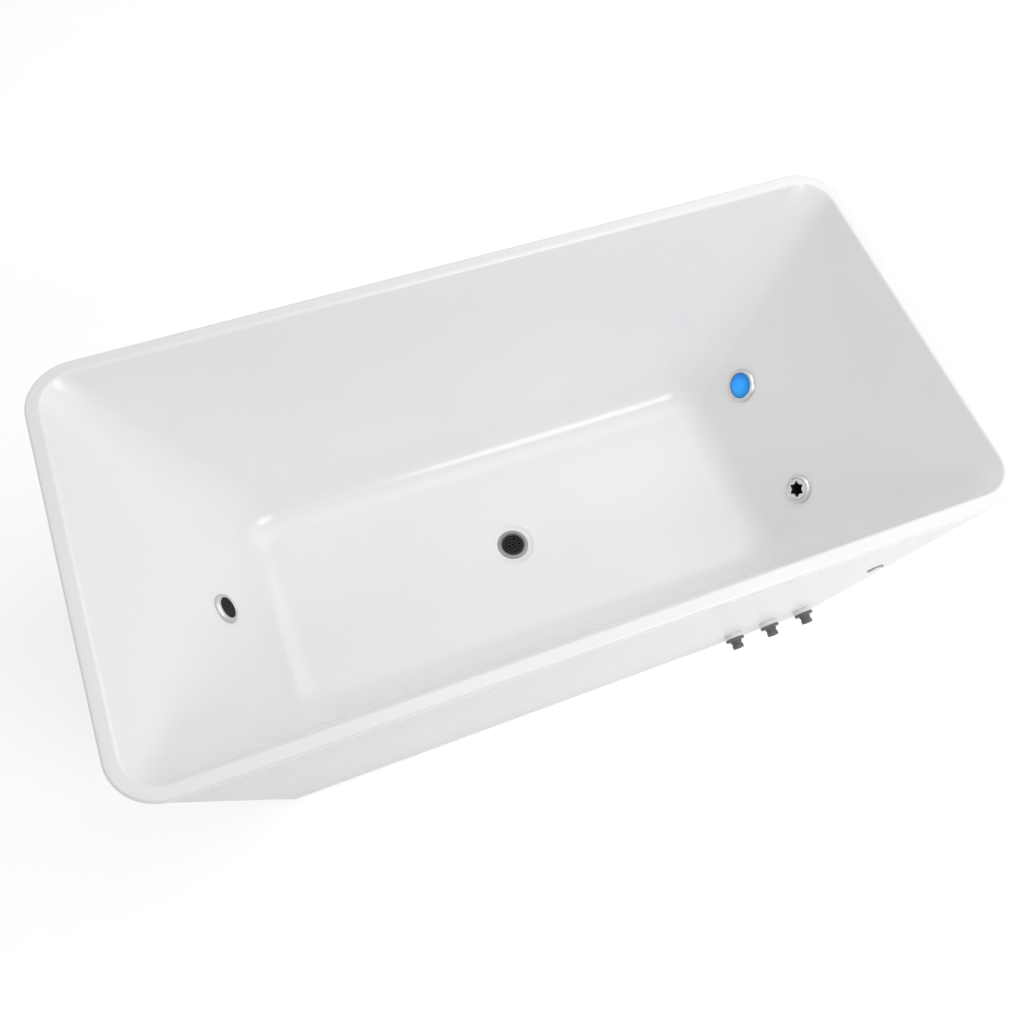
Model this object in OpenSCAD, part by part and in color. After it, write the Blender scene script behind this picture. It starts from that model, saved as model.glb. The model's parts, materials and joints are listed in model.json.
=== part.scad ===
// Free-standing cold plunge tub: an acrylic basin bonded into a tapered acrylic skirt, on a
// welded steel frame with levelling feet. A floor drain, a suction port, a return jet and a
// blue light open into the basin, and three valved hose connectors leave through the skirt.
// Millimetres. The origin is on the floor under the middle, X along the tub, Z up.

/* [Tub envelope] */
// Length over the rim
tub_l = 1700; // [1660:10:1760]
// Width over the rim
tub_w = 840; // [820:10:880]
// Height from the floor to the top of the rim
tub_h = 600; // [580:10:640]
// Setback of the skirt's foot from the rim at each end
end_inset = 190; // [170:5:195]
// Setback of the skirt's foot from the rim at each side
side_inset = 60; // [50:5:65]
// Plan radius of the rim's outer corners
rim_corner = 95; // [85:5:115]
// Plan radius of the skirt's corners at floor level
foot_corner = 45; // [35:5:60]

/* [Rim] */
// Width of the flat rim seen from above
rim_band = 28; // [26:1:34]
// Rounding of the rim's outer edge
rim_edge = 6; // [3:1:7]
// Rounding of the rim's inner edge
rim_inner_edge = 8; // [5:1:10]
// Height of the lip that turns down over the skirt
lip_drop = 20; // [16:1:30]
// Thickness of that lip
lip_t = 4.5; // [3:0.5:6]
// Gap between the lip's lower edge and the skirt's shoulder
seam_gap = 1.5; // [1:0.5:3]
// How far the skirt's face stands back from the lip's face
reveal = 1; // [0.5:0.5:2]

/* [Basin] */
// Height of the basin's floor above the ground
floor_z = 92; // [88:1:100]
// Thickness of the acrylic with its glass-fibre backing
shell_t = 7; // [5:0.5:9]
// Slope of the end walls from upright, in degrees
end_slope = 27.8; // [26:0.1:29]
// Slope of the side walls from upright, in degrees
side_slope = 15.5; // [15:0.5:18]
// Fillet radius between the floor and the walls
floor_fillet = 80; // [65:5:90]
// Plan corner radius of the basin at floor level
floor_corner = 85; // [75:5:95]

/* [Skirt] */
// Thickness of the skirt
skirt_t = 6; // [4:0.5:8]
// Gap between the skirt's lower edge and the ground
skirt_gap = 4; // [3:1:8]

/* [Board and insulation] */
// Thickness of the sealed board under the basin's floor
board_t = 18; // [12:1:20]
// Thickness of the foam panels on the basin's back
foam_t = 20; // [12:1:22]
// Height where the foam panels start
foam_low = 150; // [145:5:170]
// Height where the foam panels end
foam_high = 480; // [400:10:490]
// Glue line between bonded pieces
bond_gap = 0.3; // [0.2:0.1:0.5]

/* [Frame] */
// Outer size of the square steel tube
tube = 30; // [25:1:32]
// Wall thickness of that tube
tube_wall = 2; // [1.5:0.5:3]
// Gap between the frame and the outline of the skirt's foot
frame_gap = 50; // [45:5:60]
// Distance of the inner bearers from the middle
bearer_inner = 180; // [150:10:220]
// Space between the foot plates and the outer bearers
bearer_end = 75; // [60:5:90]
// Thickness of the foot plates
plate_t = 5; // [4:1:8]
// Side of the square foot plates
plate_side = 60; // [50:5:70]

/* [Levelling feet] */
// Radius of the foot's threaded stud
stud_r = 6; // [5:0.5:7]
// Radius of the foot's nylon pad
pad_r = 25; // [20:1:30]
// Height of the pad
pad_h = 12; // [8:1:14]
// Length of the stud above the pad
stud_l = 60; // [52:1:70]
// Height of the lock nuts under the foot plates
lock_nut_h = 7; // [5:1:9]

/* [Drain] */
// Radius of the drain's flange
drain_flange_r = 35; // [32:1:38]
// Radius of the drain's opening
drain_open_r = 22; // [19:1:23]
// Radius of the recess moulded round the flange
drain_recess_r = 48; // [42:1:54]
// Depth of that recess
drain_recess = 2.5; // [1.5:0.5:3]
// Height of the drain body's outlet above the ground
drain_outlet_z = 46; // [42:1:48]

/* [Suction port and jet] */
// Height of the suction port on the left end wall
suction_z = 247; // [215:1:260]
// Height of the jet on the right end wall
jet_z = 230; // [215:1:260]
// Space between the jet's bezel and the curve of the basin's corner
jet_side = 36.5; // [10:0.5:44]
// Radius of the ports' threaded tube
port_r = 24.5; // [23:0.5:26]
// Radius of the ports' bezels
port_bezel_r = 32.5; // [31.5:0.5:35]
// Depth of the ports behind the basin's face
port_depth = 58; // [56:1:62]
// Radius of the jet's star from the middle to a tip
star_tip = 19.3; // [15:0.1:19.5]
// Radius of the jet's star from the middle to a root
star_root = 12.5; // [9:0.5:14]
// How much smaller the fixed star behind it is
star_step = 2.2; // [2:0.1:3]

/* [Light] */
// Height of the light on the right end wall
light_z = 231; // [215:1:260]
// Space between the light's bezel and the curve of the basin's corner
light_side = 22.5; // [6:0.5:30]
// Radius of the lit lens
lens_r = 29; // [24:1:30]
// Radius of the light's bezel
light_bezel_r = 39; // [38:1:42]
// Depth of the light's housing behind the basin's face
light_depth = 42; // [36:1:50]

/* [Connectors] */
// Distance of the last connector from the end of the skirt's foot
connector_end = 99; // [90:1:120]
// Distance between connectors
connector_pitch = 88; // [80:1:92]
// Height of the connectors on the skirt
connector_z = 95; // [92:1:110]
// Radius of the connectors' spigots
spigot_r = 12.5; // [11.5:0.5:14]
// Reach of the spigots from the skirt's face
spigot_l = 34; // [30:1:40]
// Radius of the connectors' flanges
spigot_flange_r = 21; // [18:1:23]
// Thickness of the collars that hold the flanges off the skirt
collar_t = 9; // [6:1:9]
// Travel of the valve poppets
poppet_travel = 6; // [4:0.5:7]

/* [Light button] */
// Distance of the button from the end of the rim
button_end = 220; // [200:5:240]
// Height of the button on the skirt
button_z = 340; // [300:5:400]
// Radius of the button's bezel
button_r = 18; // [16:0.5:20]
// Travel of the button's cap
button_travel = 2.5; // [1.5:0.5:3]

/* [Hoses] */
// Outer radius of the hoses
hose_r = 13.5; // [12.5:0.5:14]
// Radius of the hose barbs
barb_r = 9.8; // [8.8:0.1:10]
// Bore radius of the hose barbs
barb_bore = 7.5; // [5:0.5:8]
// Length of the hose barbs
barb_l = 26; // [22:1:30]
// Room a hose takes to turn a corner
hose_turn = 130; // [110:5:140]

/* [Hidden] */
$fn = 64;

// Clearances
thread_gap = 0.1;
running_gap = 0.05;
loose_gap = 0.3;
hole_gap = 0.5;

// Levels and half sizes
foot_l = tub_l - 2 * end_inset;
foot_w = tub_w - 2 * side_inset;
frame_l = foot_l - 2 * frame_gap;
frame_w = foot_w - 2 * frame_gap;
edge_z = tub_h - rim_edge;
under_z = tub_h - shell_t;
lip_z = tub_h - lip_drop;
shoulder_z = lip_z - seam_gap;
in_l = tub_l / 2 - rim_band;
in_w = tub_w / 2 - rim_band;
in_corner = rim_corner - rim_band;
skirt_lean = atan(side_inset / edge_z);
board_z = floor_z - shell_t - board_t;
frame_z = board_z - tube;
plate_z = frame_z;
corner_steps = 10;
fillet_steps = 8;
edge_steps = 4;
least_corner = 12;

// Half length, half width and corner radius of the outside at height z
function env_l(z) = foot_l / 2 + end_inset * z / edge_z;
function env_w(z) = foot_w / 2 + side_inset * z / edge_z;
function env_r(z) = foot_corner + (rim_corner - foot_corner) * z / edge_z;

// Half size of a straight basin wall at height z, on the surface that lies off outside its face
function wall(z, top, slope, off) = top - (tub_h - z) * tan(slope) + off / cos(slope);

// The same with the floor fillet, an arc tangent to the floor and to the wall
function basin_half(z, top, slope, off) =
    let (r = floor_fillet + off,
         low = floor_z - off,
         centre = wall(low, top, slope, off) - r * tan((90 - slope) / 2),
         rise = max(0, (z - low) / r))
    rise < 1 - sin(slope) ? centre + r * sin(acos(1 - rise)) : wall(z, top, slope, off);

function wall_corner(z, off) =
    in_corner + off + (floor_corner - in_corner) * (tub_h - z) / (tub_h - floor_z);
function corner_start(z) = wall(z, in_w, side_slope, 0) - wall_corner(z, 0);
function basin_corner(z, off) =
    max(least_corner, wall_corner(z, off) - wall(z, in_w, side_slope, off)
        + basin_half(z, in_w, side_slope, off));

// Points of a rounded rectangle with half sizes a and b and corner radius r at height z
function ring(a, b, r, z) = [
    for (k = [0 : 3])
        for (i = [0 : corner_steps])
            let (t = 90 * (k + i / corner_steps),
                 side_x = (k == 0 || k == 3) ? 1 : -1,
                 side_y = k < 2 ? 1 : -1)
            [side_x * (a - r) + r * cos(t), side_y * (b - r) + r * sin(t), z]
];
function basin_ring(z, off) =
    ring(basin_half(z, in_l, end_slope, off), basin_half(z, in_w, side_slope, off),
         basin_corner(z, off), z);
function skirt_ring(z, inset) = ring(env_l(z) - inset, env_w(z) - inset, env_r(z) - inset, z);
function fillet_z(k, off) =
    floor_z - off + (floor_fillet + off) * (1 - cos(k * (90 - side_slope) / fillet_steps));

// Solid between rings of equal length, closed by its two end rings or round on itself
module loft(rings, capped) {
    n = len(rings[0]);
    m = len(rings);
    last = capped ? m - 2 : m - 1;
    bands = [
        for (j = [0 : last])
            for (i = [0 : n - 1])
                let (a = j * n + i,
                     b = j * n + (i + 1) % n,
                     c = (j + 1) % m * n + (i + 1) % n,
                     d = (j + 1) % m * n + i)
                for (face = [[a, b, c], [a, c, d]]) face
    ];
    caps = capped
        ? [[for (i = [n - 1 : -1 : 0]) i], [for (i = [0 : n - 1]) (m - 1) * n + i]]
        : [];
    polyhedron([for (r = rings) for (p = r) p], concat(bands, caps));
}

// Tube swept along a path of points, with the sides of its section turned to face one corner
sweep_up = [1, 1, 1];
function unit(v) = v / norm(v);
function tangent(path, i) = unit(path[min(i + 1, len(path) - 1)] - path[max(i - 1, 0)]);
function section(path, i, r, sides) =
    let (t = tangent(path, i),
         u = unit(cross(t, sweep_up)),
         v = cross(t, u))
    [for (k = [0 : sides - 1]) path[i] + r * (cos(360 * k / sides) * u + sin(360 * k / sides) * v)];
module pipe(path, outer, inner, sides) {
    n = len(path) - 1;
    loft(concat([for (i = [n : -1 : 0]) section(path, i, outer, sides)],
                [for (i = [0 : n]) section(path, i, inner, sides)]), false);
}
module rope(path, r, sides) {
    loft([for (i = [len(path) - 1 : -1 : 0]) section(path, i, r, sides)], true);
}

// Points of a cubic curve that leaves a along p and reaches b along q
function bend(a, p, b, q, steps) = [
    for (i = [1 : steps])
        let (t = i / steps, s = 1 - t)
        s * s * s * a + 3 * s * s * t * (a + p) + 3 * s * t * t * (b - q) + t * t * t * b
];

// Close-wound wire of a compression spring along Z from 0 to height
module coil_spring(height, mean_r, wire_r, turns) {
    per_turn = 12;
    sides = 6;
    rise = height - 2 * wire_r;
    steps = turns * per_turn;
    climb = rise / (turns * 360) * 180 / PI;
    loft([
        for (i = [steps : -1 : 0])
            let (a = 360 * i / per_turn,
                 out = [cos(a), sin(a), 0],
                 t = unit([-mean_r * sin(a), mean_r * cos(a), climb]),
                 up = cross(t, out),
                 p = mean_r * out + [0, 0, wire_r + rise * i / steps])
            [for (k = [0 : sides - 1])
                p + wire_r * (cos(360 * k / sides) * up + sin(360 * k / sides) * out)]
    ], true);
}

// Ring with a rectangular section between two radii and two heights
module washer(inner, outer, low, high) {
    translate([0, 0, low])
        difference() {
            cylinder(r = outer, h = high - low);
            translate([0, 0, -1]) cylinder(r = inner, h = high - low + 2);
        }
}

// Hexagonal nut, sized across its corners
module hex_nut(inner, corners, low, high) {
    translate([0, 0, low])
        difference() {
            cylinder(r = corners, h = high - low, $fn = 6);
            translate([0, 0, -1]) cylinder(r = inner, h = high - low + 2);
        }
}

// Places. Z leaves the wall: into the basin on an end wall, outwards on the skirt's front.
jet_y = corner_start(jet_z) - port_bezel_r - jet_side;
light_y = corner_start(light_z) - light_bezel_r - light_side;
connector_x = foot_l / 2 - connector_end - 2 * connector_pitch;
button_x = tub_l / 2 - button_end;
module on_end(side, y, z) {
    translate([side * wall(z, in_l, end_slope, 0), y, z])
        rotate([0, -side * (90 - end_slope), 0]) children();
}
module on_front(x, z) {
    translate([x, reveal - env_w(z), z]) rotate([90 + skirt_lean, 0, 0]) children();
}
module on_basin_back(turn, top, slope) {
    rotate([0, 0, turn])
        translate([0, -wall(foam_low, top, slope, shell_t + bond_gap), foam_low])
            rotate([90 + slope, 0, 0]) children();
}
module each_connector() {
    for (i = [0 : 2]) on_front(connector_x + i * connector_pitch, connector_z) children();
}
module at_feet() {
    for (sx = [-1, 1])
        for (sy = [-1, 1]) translate([sx * foot_x, sy * foot_y, 0]) children();
}

// Basin. The shell runs from the floor up the walls, over the rim and down its lip, and back.
drain_hole_r = drain_open_r + 4;
port_hole_r = port_r + hole_gap;
light_tube_r = lens_r + 2;
light_hole_r = light_tube_r + hole_gap;
module basin_shell() {
    r = rim_inner_edge;
    turn = 90 - end_slope;
    l = wall(tub_h - r, in_l, end_slope, 0) + r / cos(end_slope);
    w = wall(tub_h - r, in_w, side_slope, 0) + r / cos(side_slope);
    inner_edge = [
        for (k = [edge_steps : -1 : 0])
            let (a = turn * k / edge_steps, d = r * sin(a))
            ring(l - d, w - d, in_corner + w - in_w - d, tub_h - r + r * cos(a))
    ];
    outer_edge = [
        for (k = [0 : edge_steps])
            let (a = 90 * k / edge_steps, d = rim_edge * (1 - sin(a)))
            ring(tub_l / 2 - d, tub_w / 2 - d, rim_corner - d, edge_z + rim_edge * cos(a))
    ];
    color("white")
        difference() {
            loft(concat(
                [for (k = [0 : fillet_steps]) basin_ring(fillet_z(k, 0), 0)],
                inner_edge,
                outer_edge,
                [skirt_ring(lip_z, 0), skirt_ring(lip_z, lip_t), skirt_ring(under_z, lip_t)],
                [basin_ring(under_z, shell_t)],
                [for (k = [fillet_steps : -1 : 0]) basin_ring(fillet_z(k, shell_t), shell_t)]
            ), true);
            translate([0, 0, floor_z - drain_recess])
                cylinder(r1 = drain_recess_r - drain_recess, r2 = drain_recess_r + 1,
                         h = drain_recess + 1);
            translate([0, 0, board_z]) cylinder(r = drain_hole_r, h = board_t + shell_t + 1);
            on_end(-1, 0, suction_z) wall_hole(port_hole_r);
            on_end(1, -jet_y, jet_z) wall_hole(port_hole_r);
            on_end(1, light_y, light_z) wall_hole(light_hole_r);
        }
}
module wall_hole(r) {
    translate([0, 0, -2 * shell_t]) cylinder(r = r, h = 4 * shell_t);
}

// Skirt. Its top is set back under the rim's lip, and its lower edge clears the ground.
lip_clear = 1;
tuck = lip_t + lip_clear;
joggle = 8;
module outer_skirt() {
    top = under_z - bond_gap;
    face = reveal + skirt_t;
    color("whitesmoke")
        difference() {
            loft([
                skirt_ring(skirt_gap, face),
                skirt_ring(shoulder_z - 2 * joggle, face),
                skirt_ring(shoulder_z - joggle, tuck + skirt_t),
                skirt_ring(top, tuck + skirt_t),
                skirt_ring(top, tuck),
                skirt_ring(shoulder_z, tuck),
                skirt_ring(shoulder_z, reveal),
                skirt_ring(skirt_gap, reveal)
            ], false);
            each_connector()
                translate([0, 0, -3 * skirt_t]) cylinder(r = tail_r + hole_gap, h = 4 * skirt_t);
            on_front(button_x, button_z)
                translate([0, 0, -3 * skirt_t])
                    cylinder(r = button_tube_r + hole_gap, h = 4 * skirt_t);
        }
}

// Sealed board bonded under the basin's floor, which carries the floor on the frame
board_margin = 28;
drain_room_r = 55;
module baseboard() {
    l = basin_half(floor_z - shell_t, in_l, end_slope, shell_t) - board_margin;
    w = basin_half(floor_z - shell_t, in_w, side_slope, shell_t) - board_margin;
    r = 30;
    color("burlywood")
        translate([0, 0, board_z])
            difference() {
                linear_extrude(board_t)
                    union() {
                        square([2 * l - 2 * r, 2 * w], center = true);
                        square([2 * l, 2 * w - 2 * r], center = true);
                        for (sx = [-1, 1])
                            for (sy = [-1, 1]) translate([sx * (l - r), sy * (w - r)]) circle(r);
                    }
                translate([0, 0, -1]) cylinder(r = drain_room_r, h = board_t + 2);
            }
}

// Foam panels bonded to the backs of the basin's walls, cut away round the fittings
foam_margin = 20;
port_room_r = port_bezel_r + 5;
light_room_r = light_bezel_r + 5;
function flat_half(z, across, slope) = wall(z, across, slope, 0) - wall_corner(z, 0) - foam_margin;
module foam_panel(turn, top, slope, across, across_slope) {
    low = flat_half(foam_low, across, across_slope);
    high = flat_half(foam_high, across, across_slope);
    rise = (foam_high - foam_low) / cos(slope);
    on_basin_back(turn, top, slope)
        linear_extrude(foam_t)
            polygon([[-low, 0], [low, 0], [high, rise], [-high, rise]]);
}
module side_insulation() {
    color("khaki")
        for (turn = [0, 180]) foam_panel(turn, in_w, side_slope, in_l, end_slope);
}
module end_insulation() {
    color("khaki")
        difference() {
            for (turn = [90, -90]) foam_panel(turn, in_l, end_slope, in_w, side_slope);
            on_end(-1, 0, suction_z) fitting_room(port_room_r);
            on_end(1, -jet_y, jet_z) fitting_room(port_room_r);
            on_end(1, light_y, light_z) fitting_room(light_room_r);
        }
}
module fitting_room(r) {
    translate([0, 0, -3 * foam_t]) cylinder(r = r, h = 3 * foam_t);
}

// Frame of square tube, with bearers under the board and plates that carry the feet
foot_x = frame_l / 2 - tube - plate_side / 2;
foot_y = frame_w / 2 - tube - plate_side / 2;
screw_r = 2.5;
block_l = 60;
block_end = 130;
block_mid = 240;
block_x = [block_end - frame_l / 2, -block_mid, block_mid];
block_y = 150;
// Square tube along X from the origin
module square_tube(l) {
    difference() {
        translate([0, -tube / 2, 0]) cube([l, tube, tube]);
        translate([-1, tube_wall - tube / 2, tube_wall])
            cube([l + 2, tube - 2 * tube_wall, tube - 2 * tube_wall]);
    }
}
module frame_side_rails() {
    color("slategray")
        difference() {
            for (s = [-1, 1])
                translate([-frame_l / 2, s * (frame_w - tube) / 2, frame_z]) square_tube(frame_l);
            at_side_blocks() screw_hole(0);
        }
}
module frame_end_rails() {
    color("slategray")
        difference() {
            for (s = [-1, 1])
                translate([s * (frame_l - tube) / 2, tube - frame_w / 2, frame_z])
                    rotate([0, 0, 90]) square_tube(frame_w - 2 * tube);
            at_end_blocks() screw_hole(0);
        }
}
module frame_bearers() {
    bearer_outer = foot_x - plate_side / 2 - bearer_end - tube / 2;
    color("slategray")
        for (x = [-bearer_outer, -bearer_inner, bearer_inner, bearer_outer])
            translate([x, tube - frame_w / 2, frame_z])
                rotate([0, 0, 90]) square_tube(frame_w - 2 * tube);
}
module foot_plates() {
    color("gray")
        at_feet()
            difference() {
                translate([-plate_side / 2, -plate_side / 2, plate_z])
                    cube([plate_side, plate_side, plate_t]);
                translate([0, 0, plate_z - 1]) cylinder(r = stud_r + running_gap, h = plate_t + 2);
            }
}

// Blocks bonded between the frame and the skirt, each held to its rail by a screw.
// In a block's own place X leaves the rail towards the skirt and Z is up.
module at_side_blocks() {
    for (turn = [-90, 90])
        for (x = block_x)
            rotate([0, 0, turn]) translate([frame_w / 2, sign(turn) * -x, frame_z]) children();
}
module at_end_blocks() {
    for (turn = [0, 180])
        for (s = [-1, 1])
            rotate([0, 0, turn]) translate([frame_l / 2, s * block_y, frame_z]) children();
}
module screw_hole(reach) {
    translate([-tube - 1, 0, tube / 2])
        rotate([0, 90, 0]) cylinder(r = screw_r + thread_gap, h = tube + reach + 2);
}
module skirt_block(low_reach, high_reach) {
    difference() {
        translate([0, block_l / 2, 0])
            rotate([90, 0, 0])
                linear_extrude(block_l)
                    polygon([[0, 0], [low_reach, 0], [high_reach, tube], [0, tube]]);
        screw_hole(tube / 2);
    }
}
module skirt_blocks() {
    back = reveal + skirt_t + bond_gap;
    low = frame_z;
    high = frame_z + tube;
    color("peru") {
        at_side_blocks()
            skirt_block(env_w(low) - back - frame_w / 2, env_w(high) - back - frame_w / 2);
        at_end_blocks()
            skirt_block(env_l(low) - back - frame_l / 2, env_l(high) - back - frame_l / 2);
    }
}
module block_screw() {
    translate([-tube - 2, 0, tube / 2])
        rotate([0, 90, 0]) {
            cylinder(r = 2 * screw_r, h = 2);
            cylinder(r = screw_r, h = tube + tube / 2);
        }
}
module block_screws() {
    color("silver") {
        at_side_blocks() block_screw();
        at_end_blocks() block_screw();
    }
}

// Levelling foot: a nylon pad moulded on a steel stud with a spanner hexagon
hex_h = 6;
module foot() {
    color("dimgray") {
        cylinder(r1 = pad_r, r2 = pad_r - 1, h = 4);
        translate([0, 0, 4]) cylinder(r1 = pad_r - 1, r2 = 2 * stud_r, h = pad_h - 4);
        translate([0, 0, pad_h]) cylinder(r = 1.8 * stud_r, h = hex_h, $fn = 6);
        translate([0, 0, pad_h]) cylinder(r = stud_r, h = stud_l);
    }
}
module foot_front_left() {
    translate([-foot_x, -foot_y, 0]) foot();
}
module foot_front_right() {
    translate([foot_x, -foot_y, 0]) foot();
}
module foot_back_left() {
    translate([-foot_x, foot_y, 0]) foot();
}
module foot_back_right() {
    translate([foot_x, foot_y, 0]) foot();
}
module foot_lock_nuts() {
    color("silver")
        at_feet() hex_nut(stud_r + running_gap, 1.9 * stud_r, plate_z - lock_nut_h, plate_z);
}

// Drain: a flange screwed down through the floor into a body with a side outlet
drain_gasket_t = 3;
drain_seat = floor_z - drain_recess;
drain_top = floor_z - shell_t - drain_gasket_t;
drain_sleeve_r = drain_open_r + 2.5;
drain_body_r = drain_sleeve_r + 7;
drain_low = drain_outlet_z - barb_r - 12;
strainer_z = drain_seat - 5;
module drain_flange() {
    color("silver")
        rotate_extrude()
            polygon([
                [drain_open_r, drain_top - 15], [drain_sleeve_r, drain_top - 15],
                [drain_sleeve_r, drain_seat], [drain_flange_r, drain_seat],
                [drain_flange_r, drain_seat + 1.2], [drain_flange_r - 2, drain_seat + 3],
                [drain_open_r + 5, drain_seat + 3], [drain_open_r + 1, drain_seat],
                [drain_open_r + 1, strainer_z], [drain_open_r, strainer_z]
            ]);
}
module drain_strainer() {
    color([0.1, 0.1, 0.11])
        translate([0, 0, strainer_z])
            difference() {
                cylinder(r = drain_open_r + 1 - thread_gap, h = 2);
                for (row = [1 : 2])
                    for (i = [0 : 6 * row - 1])
                        rotate([0, 0, 60 * i / row])
                            translate([row * drain_open_r / 2.8, 0, -1]) cylinder(r = 2.6, h = 4);
                translate([0, 0, -1]) cylinder(r = 2.6, h = 4);
            }
}
module drain_gasket() {
    color("darkslategray")
        washer(drain_sleeve_r + 1, drain_body_r + 5, drain_top, floor_z - shell_t);
}
module drain_body() {
    color("gainsboro")
        difference() {
            union() {
                translate([0, 0, drain_top - 4]) cylinder(r = drain_body_r + 5, h = 4);
                translate([0, 0, drain_low]) cylinder(r = drain_body_r, h = drain_top - drain_low);
                drain_outlet() cylinder(r = barb_r, h = drain_body_r + barb_l);
            }
            translate([0, 0, drain_top - 16])
                cylinder(r = drain_sleeve_r + thread_gap, h = 17);
            translate([0, 0, drain_low + 3])
                cylinder(r = drain_open_r, h = drain_top - drain_low);
            drain_outlet() cylinder(r = barb_bore, h = drain_body_r + barb_l + 1);
        }
}
module drain_outlet() {
    translate([0, 0, drain_outlet_z]) rotate([90, 0, 0]) children();
}

// Suction port and jet share one body: a flange, a threaded tube through the wall and a barb
gasket_t = 1.5;
port_flange_t = 3;
port_flange_r = port_bezel_r - 3;
port_wall = 3;
port_bore = port_r - port_wall;
port_top = gasket_t + port_flange_t;
barb_depth = port_depth - barb_r - 4;
nozzle_low = 24;
insert_t = 1.8;
lip_low = port_top + insert_t + 2 * thread_gap;
module port_body() {
    color("gainsboro")
        difference() {
            union() {
                translate([0, 0, gasket_t]) cylinder(r = port_flange_r, h = port_flange_t);
                translate([0, 0, -port_depth]) cylinder(r = port_r, h = port_depth + gasket_t);
                port_outlet() cylinder(r = barb_r, h = port_r + barb_l);
            }
            translate([0, 0, -nozzle_low]) cylinder(r = port_bore, h = nozzle_low + port_top + 1);
            translate([0, 0, port_wall - port_depth]) cylinder(r = port_bore - 3, h = port_depth);
            port_outlet() cylinder(r = barb_bore, h = port_r + barb_l + 1);
        }
}
module port_outlet() {
    translate([0, 0, -barb_depth]) rotate([90, 0, 0]) children();
}
module port_bezel(lip_r, outer, inner) {
    color("silver")
        rotate_extrude()
            polygon([
                [lip_r, lip_low], [lip_r, lip_low + 1.2], [lip_r + 1.5, lip_low + 2.2],
                [outer - 6, lip_low + 2.2], [outer - 2.6, lip_low + 1.2], [outer - 0.7, lip_low - 1.4],
                [outer, lip_low - 4], [outer, bond_gap], [inner, bond_gap], [inner, lip_low]
            ]);
}
suction_open_r = port_bore - 1.5;
module suction_bezel() {
    on_end(-1, 0, suction_z)
        port_bezel(suction_open_r, port_bezel_r, port_flange_r + thread_gap);
}
module suction_grille() {
    pitch = suction_open_r / 3.4;
    color([0.14, 0.14, 0.15])
        on_end(-1, 0, suction_z)
            translate([0, 0, port_top + thread_gap])
                difference() {
                    cylinder(r = port_r, h = insert_t);
                    for (row = [1 : 3])
                        for (i = [0 : 6 * row - 1])
                            rotate([0, 0, 60 * i / row])
                                translate([row * pitch, 0, -1]) cylinder(r = 1.8, h = 4);
                    translate([0, 0, -1]) cylinder(r = 1.8, h = 4);
                }
}
module suction_body() {
    on_end(-1, 0, suction_z) port_body();
}

// Jet: a star face turns in front of a fixed star in the nozzle, which throttles the flow
face_r = port_bore + 2.5;
face_bore = port_bore - 1.6;
face_depth = nozzle_low / 2;
throat_r = 6;
module star(step) {
    linear_extrude(20)
        polygon([
            for (i = [0 : 11])
                let (r = (i % 2 == 0 ? star_tip : star_root) - step) [r * cos(30 * i), r * sin(30 * i)]
        ]);
}
module jet_bezel() {
    on_end(1, -jet_y, jet_z) port_bezel(face_r + hole_gap, port_bezel_r, port_flange_r + thread_gap);
}
module jet_face() {
    low = port_top + thread_gap;
    color("silver")
        on_end(1, -jet_y, jet_z)
            difference() {
                union() {
                    translate([0, 0, low]) cylinder(r = face_r + 2, h = insert_t);
                    translate([0, 0, low + insert_t]) cylinder(r = face_r, h = 1.6);
                    translate([0, 0, low + insert_t + 1.6])
                        cylinder(r1 = face_r, r2 = face_r - 1.2, h = 0.8);
                    translate([0, 0, -face_depth])
                        cylinder(r = port_bore - running_gap, h = face_depth + low + 0.1);
                }
                translate([0, 0, -face_depth - 1]) cylinder(r = face_bore, h = face_depth + low + 1);
                translate([0, 0, -1]) star(0);
            }
}
module jet_nozzle() {
    neck_r = face_bore - loose_gap;
    chamber_r = neck_r - 2;
    plate_low = port_top - 3;
    color([0.1, 0.1, 0.11])
        on_end(1, -jet_y, jet_z)
            difference() {
                union() {
                    translate([0, 0, -nozzle_low])
                        cylinder(r = port_bore - thread_gap, h = nozzle_low - face_depth - loose_gap);
                    translate([0, 0, -nozzle_low])
                        cylinder(r = neck_r, h = nozzle_low + port_top - loose_gap);
                }
                translate([0, 0, -nozzle_low - 1]) cylinder(r = throat_r, h = nozzle_low);
                translate([0, 0, 2 - nozzle_low])
                    cylinder(r1 = throat_r, r2 = chamber_r, h = nozzle_low - 6);
                translate([0, 0, -4.01]) cylinder(r = chamber_r, h = plate_low + 4.01);
                translate([0, 0, plate_low - 1]) star(star_step);
            }
}
module jet_body() {
    on_end(1, -jet_y, jet_z) port_body();
}
module each_port() {
    on_end(-1, 0, suction_z) children();
    on_end(1, -jet_y, jet_z) children();
}
module port_gaskets() {
    color("darkslategray") each_port() washer(port_hole_r, port_flange_r, 0, gasket_t);
}
module port_nuts() {
    color("gainsboro")
        each_port()
            hex_nut(port_r + thread_gap, port_room_r - 2, -shell_t - 10, -shell_t - bond_gap);
}

// Blue light: a sealed housing with a ledge for the board, a domed lens and a chrome bezel
light_flange_r = light_bezel_r - 3;
light_bore = light_tube_r - 2.5;
ledge_z = -8;
gland_l = 10;
cable_r = 3;
module light_bezel() {
    on_end(1, light_y, light_z)
        port_bezel(lens_r + loose_gap, light_bezel_r, light_flange_r + thread_gap);
}
module light_lens() {
    low = port_top + thread_gap;
    dome = 5;
    ball = (lens_r * lens_r + dome * dome) / (2 * dome);
    color([0.05, 0.5, 1])
        on_end(1, light_y, light_z) {
            translate([0, 0, low]) cylinder(r = lens_r + 3, h = insert_t);
            translate([0, 0, low + insert_t]) cylinder(r = lens_r, h = 3);
            intersection() {
                translate([0, 0, low + insert_t + 3 + dome - ball]) sphere(r = ball, $fn = 96);
                translate([0, 0, low + insert_t + 3]) cylinder(r = lens_r, h = dome + 1);
            }
        }
}
module light_gasket() {
    color("darkslategray")
        on_end(1, light_y, light_z) washer(light_hole_r, light_flange_r, 0, gasket_t);
}
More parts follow.
